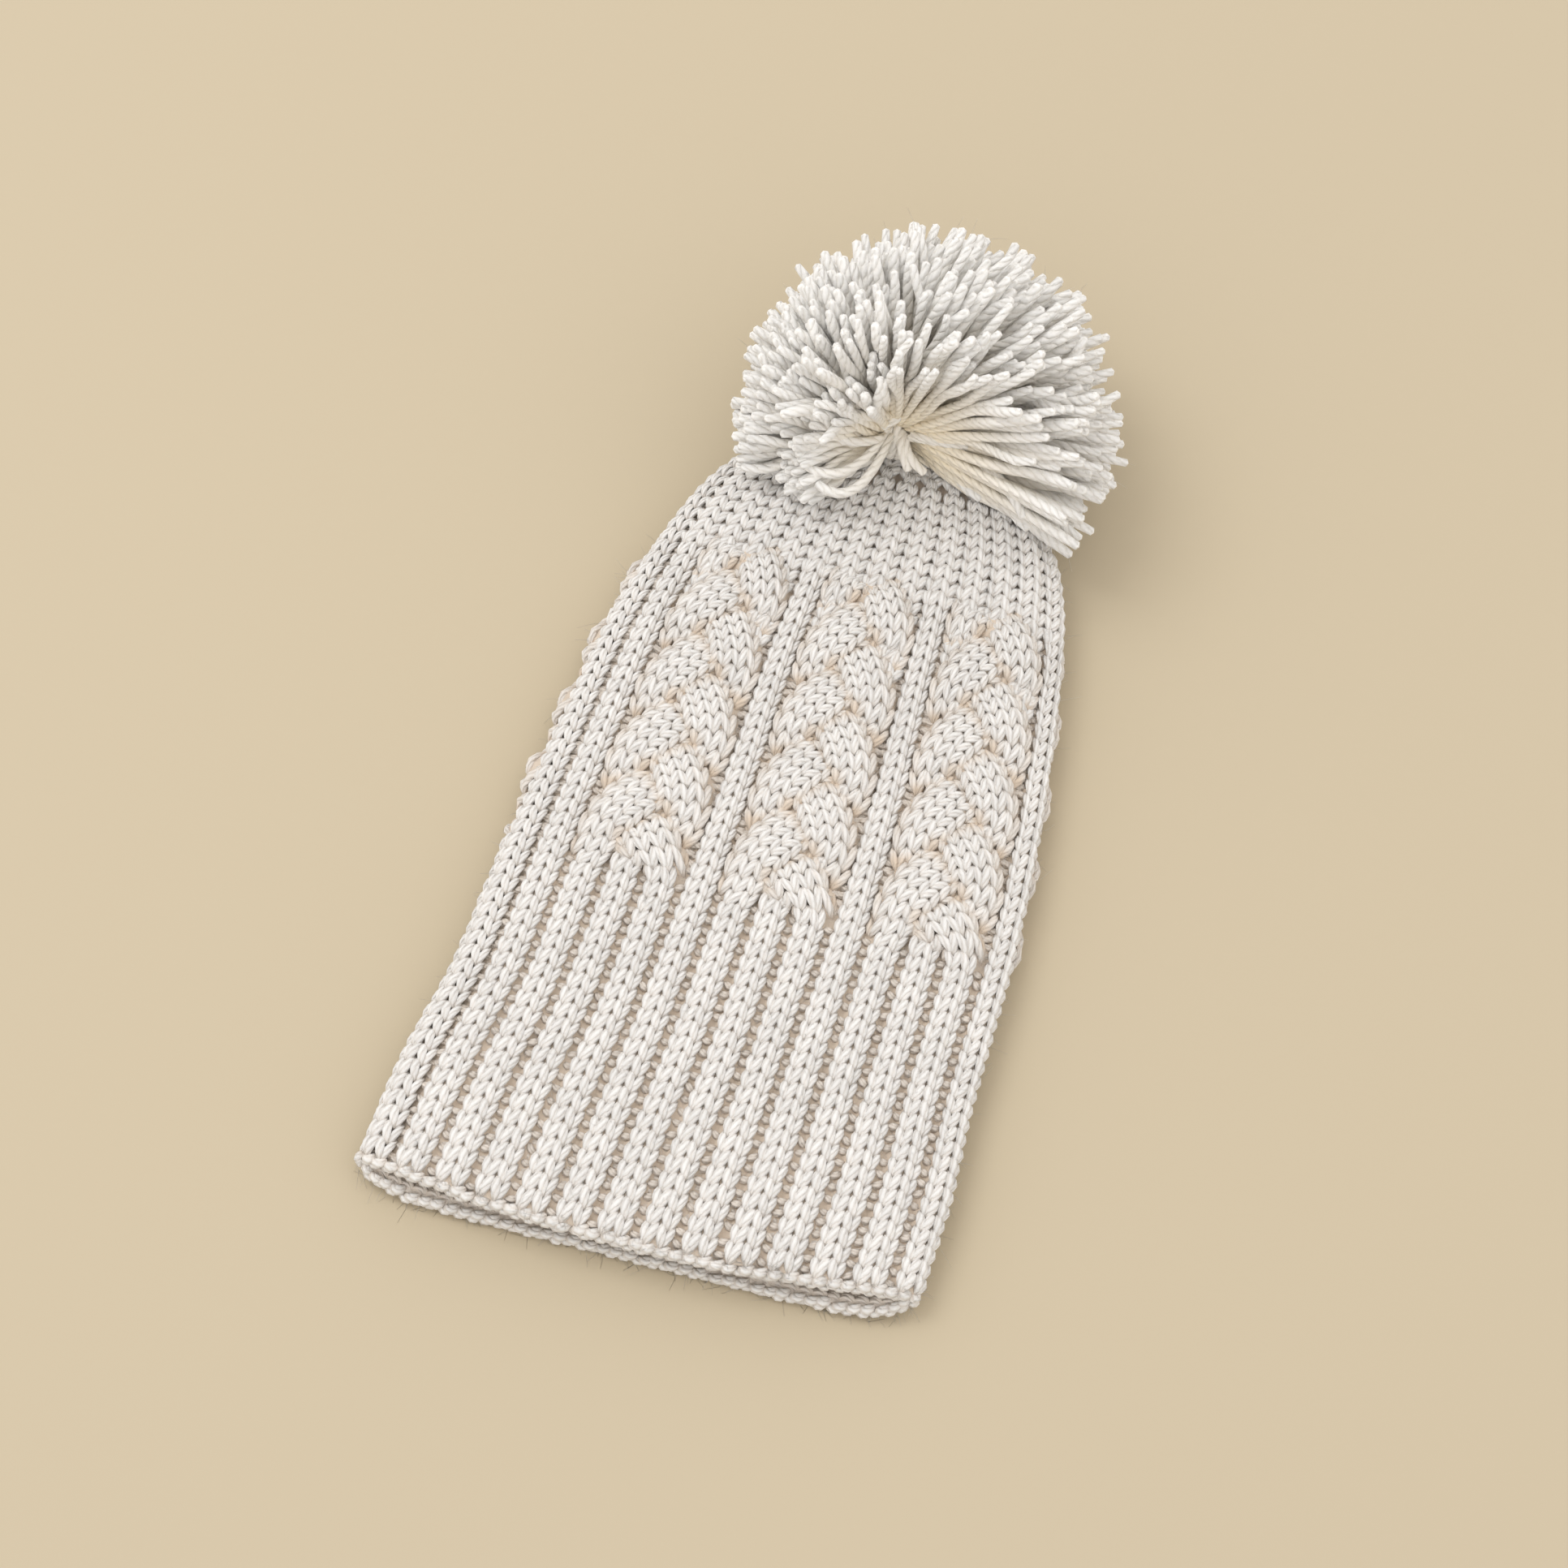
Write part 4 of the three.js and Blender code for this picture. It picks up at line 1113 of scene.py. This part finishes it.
# Settings, operators and panel
class BeanieSizes(bpy.types.PropertyGroup):
    """Sizes that can be changed before the beanie is knitted."""

    stitch_pitch: FloatProperty(
        name="Stitch Height", description="Distance from one row of stitches to the next",
        default=0.0053, unit="LENGTH")
    knit_yarn: FloatProperty(
        name="Knitting Yarn", description="Thickness of the yarn in the knit", default=0.0031, unit="LENGTH")
    cable_rise: FloatProperty(
        name="Cable Rise", description="Height of a cable's top strand over its grooves",
        default=0.0078, unit="LENGTH")
    pompom_radius: FloatProperty(
        name="Pompom Radius", description="Radius of the ball of cut ends", default=0.0675, unit="LENGTH")
    pompom_yarn: FloatProperty(
        name="Pompom Yarn", description="Thickness of the pompom's yarn", default=0.0034, unit="LENGTH")
    strand_count: IntProperty(
        name="Strands", description="Strands on the whole ball, before the parting is left open",
        default=1700, min=50)
    clump_count: IntProperty(
        name="Clumps", description="Clumps that the strands are drawn into", default=230, min=1)
    hair_count: IntProperty(
        name="Loose Fibres", description="Fine hairs on the band, and as many on the crown",
        default=2600, min=8)


class BeanieColours(bpy.types.PropertyGroup):
    """Colours of the wool, of the painted shade mixed into it, and of the floor."""

    knit: FloatVectorProperty(
        name="Knit", description="Wool of the band and crown", subtype="COLOR", default=(0.895, 0.89, 0.882))
    # painted shade colour for the holes and crevices of the knit
    knit_depth: FloatVectorProperty(
        name="Knit Painted Shade", description="Painted shade between the stitches", subtype="COLOR",
        default=(0.75, 0.63, 0.51))
    pompom: FloatVectorProperty(
        name="Pompom Tips", description="Wool at the cut ends", subtype="COLOR", default=(1.0, 0.995, 0.985))
    # painted shade colour near the pompom's roots, warm like light bounced among the strands
    pompom_depth: FloatVectorProperty(
        name="Pompom Painted Shade", description="Painted shade near the tie", subtype="COLOR", default=(1.0, 0.88, 0.66))
    floor: FloatVectorProperty(
        name="Floor", description="Plain pale floor", subtype="COLOR", default=(0.533, 0.457, 0.332))


def settle(piece, node):
    """Puts a piece on the body in the place of its CAD node, which it hides."""
    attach(piece, "root")
    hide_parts(node)


class BEANIE_OT_brim(bpy.types.Operator):
    """Knit the ribbed band with its cast-on edge"""

    bl_idname = "beanie.brim"
    bl_label = "Knit Band"

    def execute(self, context):
        sizes = context.scene.beanie_sizes
        random = np.random.default_rng(11)
        shell = backing("brim_backing", 0.8 * MM, SEAM, SEAM, 26, sizes)
        hairs = knit_hairs("brim_hairs", 0.0, SEAM, sizes.hair_count, sizes, random)
        for piece in (shell, knit_brim(sizes, random), knit_edge(sizes, random), hairs):
            settle(piece, "brim")
        return {"FINISHED"}


class BEANIE_OT_crown(bpy.types.Operator):
    """Knit the cables, ribs and decreases of the crown"""

    bl_idname = "beanie.crown"
    bl_label = "Knit Crown"

    def execute(self, context):
        sizes = context.scene.beanie_sizes
        random = np.random.default_rng(23)
        shell = backing("crown_backing", SEAM, TIP - 0.5 * MM, 0.93 * TIP, 62, sizes)
        pieces = [shell, *knit_cables(sizes, random)]
        pieces.append(knit_decreases(sizes, random))
        pieces.append(knit_purls(sizes, random))
        pieces.append(knit_hairs("crown_hairs", SEAM, TIP - 4 * MM, sizes.hair_count, sizes, random))
        for piece in pieces:
            settle(piece, "crown")
        return {"FINISHED"}


class BEANIE_OT_pompom(bpy.types.Operator):
    """Tie and cut the yarn pompom"""

    bl_idname = "beanie.pompom"
    bl_label = "Make Pompom"

    def execute(self, context):
        sizes = context.scene.beanie_sizes
        random = np.random.default_rng(37)
        for piece in (*pompom_strands(sizes, random), loose_strands(sizes, random)):
            settle(piece, "pompom")
        settle(tie_yarn(sizes, random), "pompom_tie")
        return {"FINISHED"}


FLOOR_HALF = 3.0
WORLD_COLOUR = (1.0, 0.965, 0.925, 1)
WORLD_STRENGTH = 1.05
# Name, way to the photo's right and ahead, height, width, power in watts and colour
LIGHTS = (
    ("key", -0.8, 0.45, 1.9, 1.0, 12, (0.98, 0.99, 1.0)),
    ("fill", 1.2, -0.4, 1.6, 1.6, 2, (1.0, 0.99, 0.98)),
)


def add_light(name, place, aim, width, power, colour):
    """A square area light that faces a point."""
    data = bpy.data.lights.new(name, "AREA")
    data.size = width
    data.energy = power
    data.color = colour
    light = bpy.data.objects.new(name, data)
    light.location = place
    light.rotation_euler = (Vector(aim) - Vector(place)).to_track_quat("-Z", "Y").to_euler()
    bpy.context.scene.collection.objects.link(light)


class BEANIE_OT_stage(bpy.types.Operator):
    """Set the floor, the soft lights and the camera"""

    bl_idname = "beanie.stage"
    bl_label = "Set Stage"

    def execute(self, context):
        scene = context.scene
        mesh = bpy.data.meshes.new("floor")
        corners = [(x * FLOOR_HALF, y * FLOOR_HALF, 0) for x, y in ((-1, -1), (1, -1), (1, 1), (-1, 1))]
        mesh.from_pydata(corners, [], [(0, 1, 2, 3)])
        floor = bpy.data.objects.new("floor", mesh)
        scene.collection.objects.link(floor)
        paint = bpy.data.materials.new("pale floor")
        paint.use_nodes = True
        shader = paint.node_tree.nodes["Principled BSDF"]
        shader.inputs["Base Color"].default_value = (*scene.beanie_colours.floor, 1)
        shader.inputs["Roughness"].default_value = 0.85
        shader.inputs["Specular IOR Level"].default_value = 0.2
        mesh.materials.append(paint)

        right, up, away = camera_axes()
        mouth = Vector(GROUND[0, 0]) * 0.5 + Vector(GROUND[0, GROUND_SHARES // 2]) * 0.5
        mouth.y = GROUND[0, 0, 1] + MOUTH_SAG
        tie = Vector(tie_point())
        lines, values = [], []
        for point, pixel in ((mouth, MOUTH_PIXEL), (tie, TIE_PIXEL)):
            for axis, slope in ((right, (pixel[0] - PHOTO_SIZE / 2) / FOCAL_PIXELS),
                                (up, (PHOTO_SIZE / 2 - pixel[1]) / FOCAL_PIXELS)):
                line = axis + slope * away
                lines.append(list(line))
                values.append(line.dot(point))
        place = np.linalg.lstsq(np.array(lines), np.array(values), rcond=None)[0]
        data = bpy.data.cameras.new("camera")
        data.sensor_width = 36
        data.lens = 36 * FOCAL_PIXELS / PHOTO_SIZE
        camera = bpy.data.objects.new("camera", data)
        camera.matrix_world = Matrix((
            (right.x, up.x, away.x, place[0]),
            (right.y, up.y, away.y, place[1]),
            (right.z, up.z, away.z, place[2]),
            (0, 0, 0, 1)))
        scene.collection.objects.link(camera)
        scene.camera = camera

        world = bpy.data.worlds.new("studio")
        world.use_nodes = True
        world.node_tree.nodes["Background"].inputs[0].default_value = WORLD_COLOUR
        world.node_tree.nodes["Background"].inputs[1].default_value = WORLD_STRENGTH
        scene.world = world
        scene.view_settings.view_transform = "Standard"
        across = np.array(right)
        ahead = np.array([up.x, up.y, 0])
        for name, aside, on, height, width, power, colour in LIGHTS:
            spot = Vector(across * aside + ahead * on + [0, 0, height])
            add_light(name, spot, (0, 0, 0), width, power, colour)
        return {"FINISHED"}


class BEANIE_PT_panel(bpy.types.Panel):
    """Sizes, colours and steps of the beanie"""

    bl_label = "Cable Knit Beanie"
    bl_idname = "BEANIE_PT_panel"
    bl_space_type = "VIEW_3D"
    bl_region_type = "UI"
    bl_category = "Beanie"

    def draw(self, context):
        layout = self.layout
        for group in (context.scene.beanie_sizes, context.scene.beanie_colours):
            for name in group.bl_rna.properties.keys():
                if name not in ("rna_type", "name"):
                    layout.prop(group, name)
        for step in STEPS:
            layout.operator(step.bl_idname)


STEPS = (BEANIE_OT_brim, BEANIE_OT_crown, BEANIE_OT_pompom, BEANIE_OT_stage)
CLASSES = (BeanieSizes, BeanieColours, *STEPS, BEANIE_PT_panel)


def register():
    for kind in CLASSES:
        bpy.utils.register_class(kind)
    bpy.types.Scene.beanie_sizes = PointerProperty(type=BeanieSizes)
    bpy.types.Scene.beanie_colours = PointerProperty(type=BeanieColours)


def unregister():
    del bpy.types.Scene.beanie_colours
    del bpy.types.Scene.beanie_sizes
    for kind in reversed(CLASSES):
        bpy.utils.unregister_class(kind)


def main():
    register()
    bpy.ops.beanie.brim()
    bpy.ops.beanie.crown()
    bpy.ops.beanie.pompom()
    bpy.ops.beanie.stage()


if __name__ == "__main__":
    main()
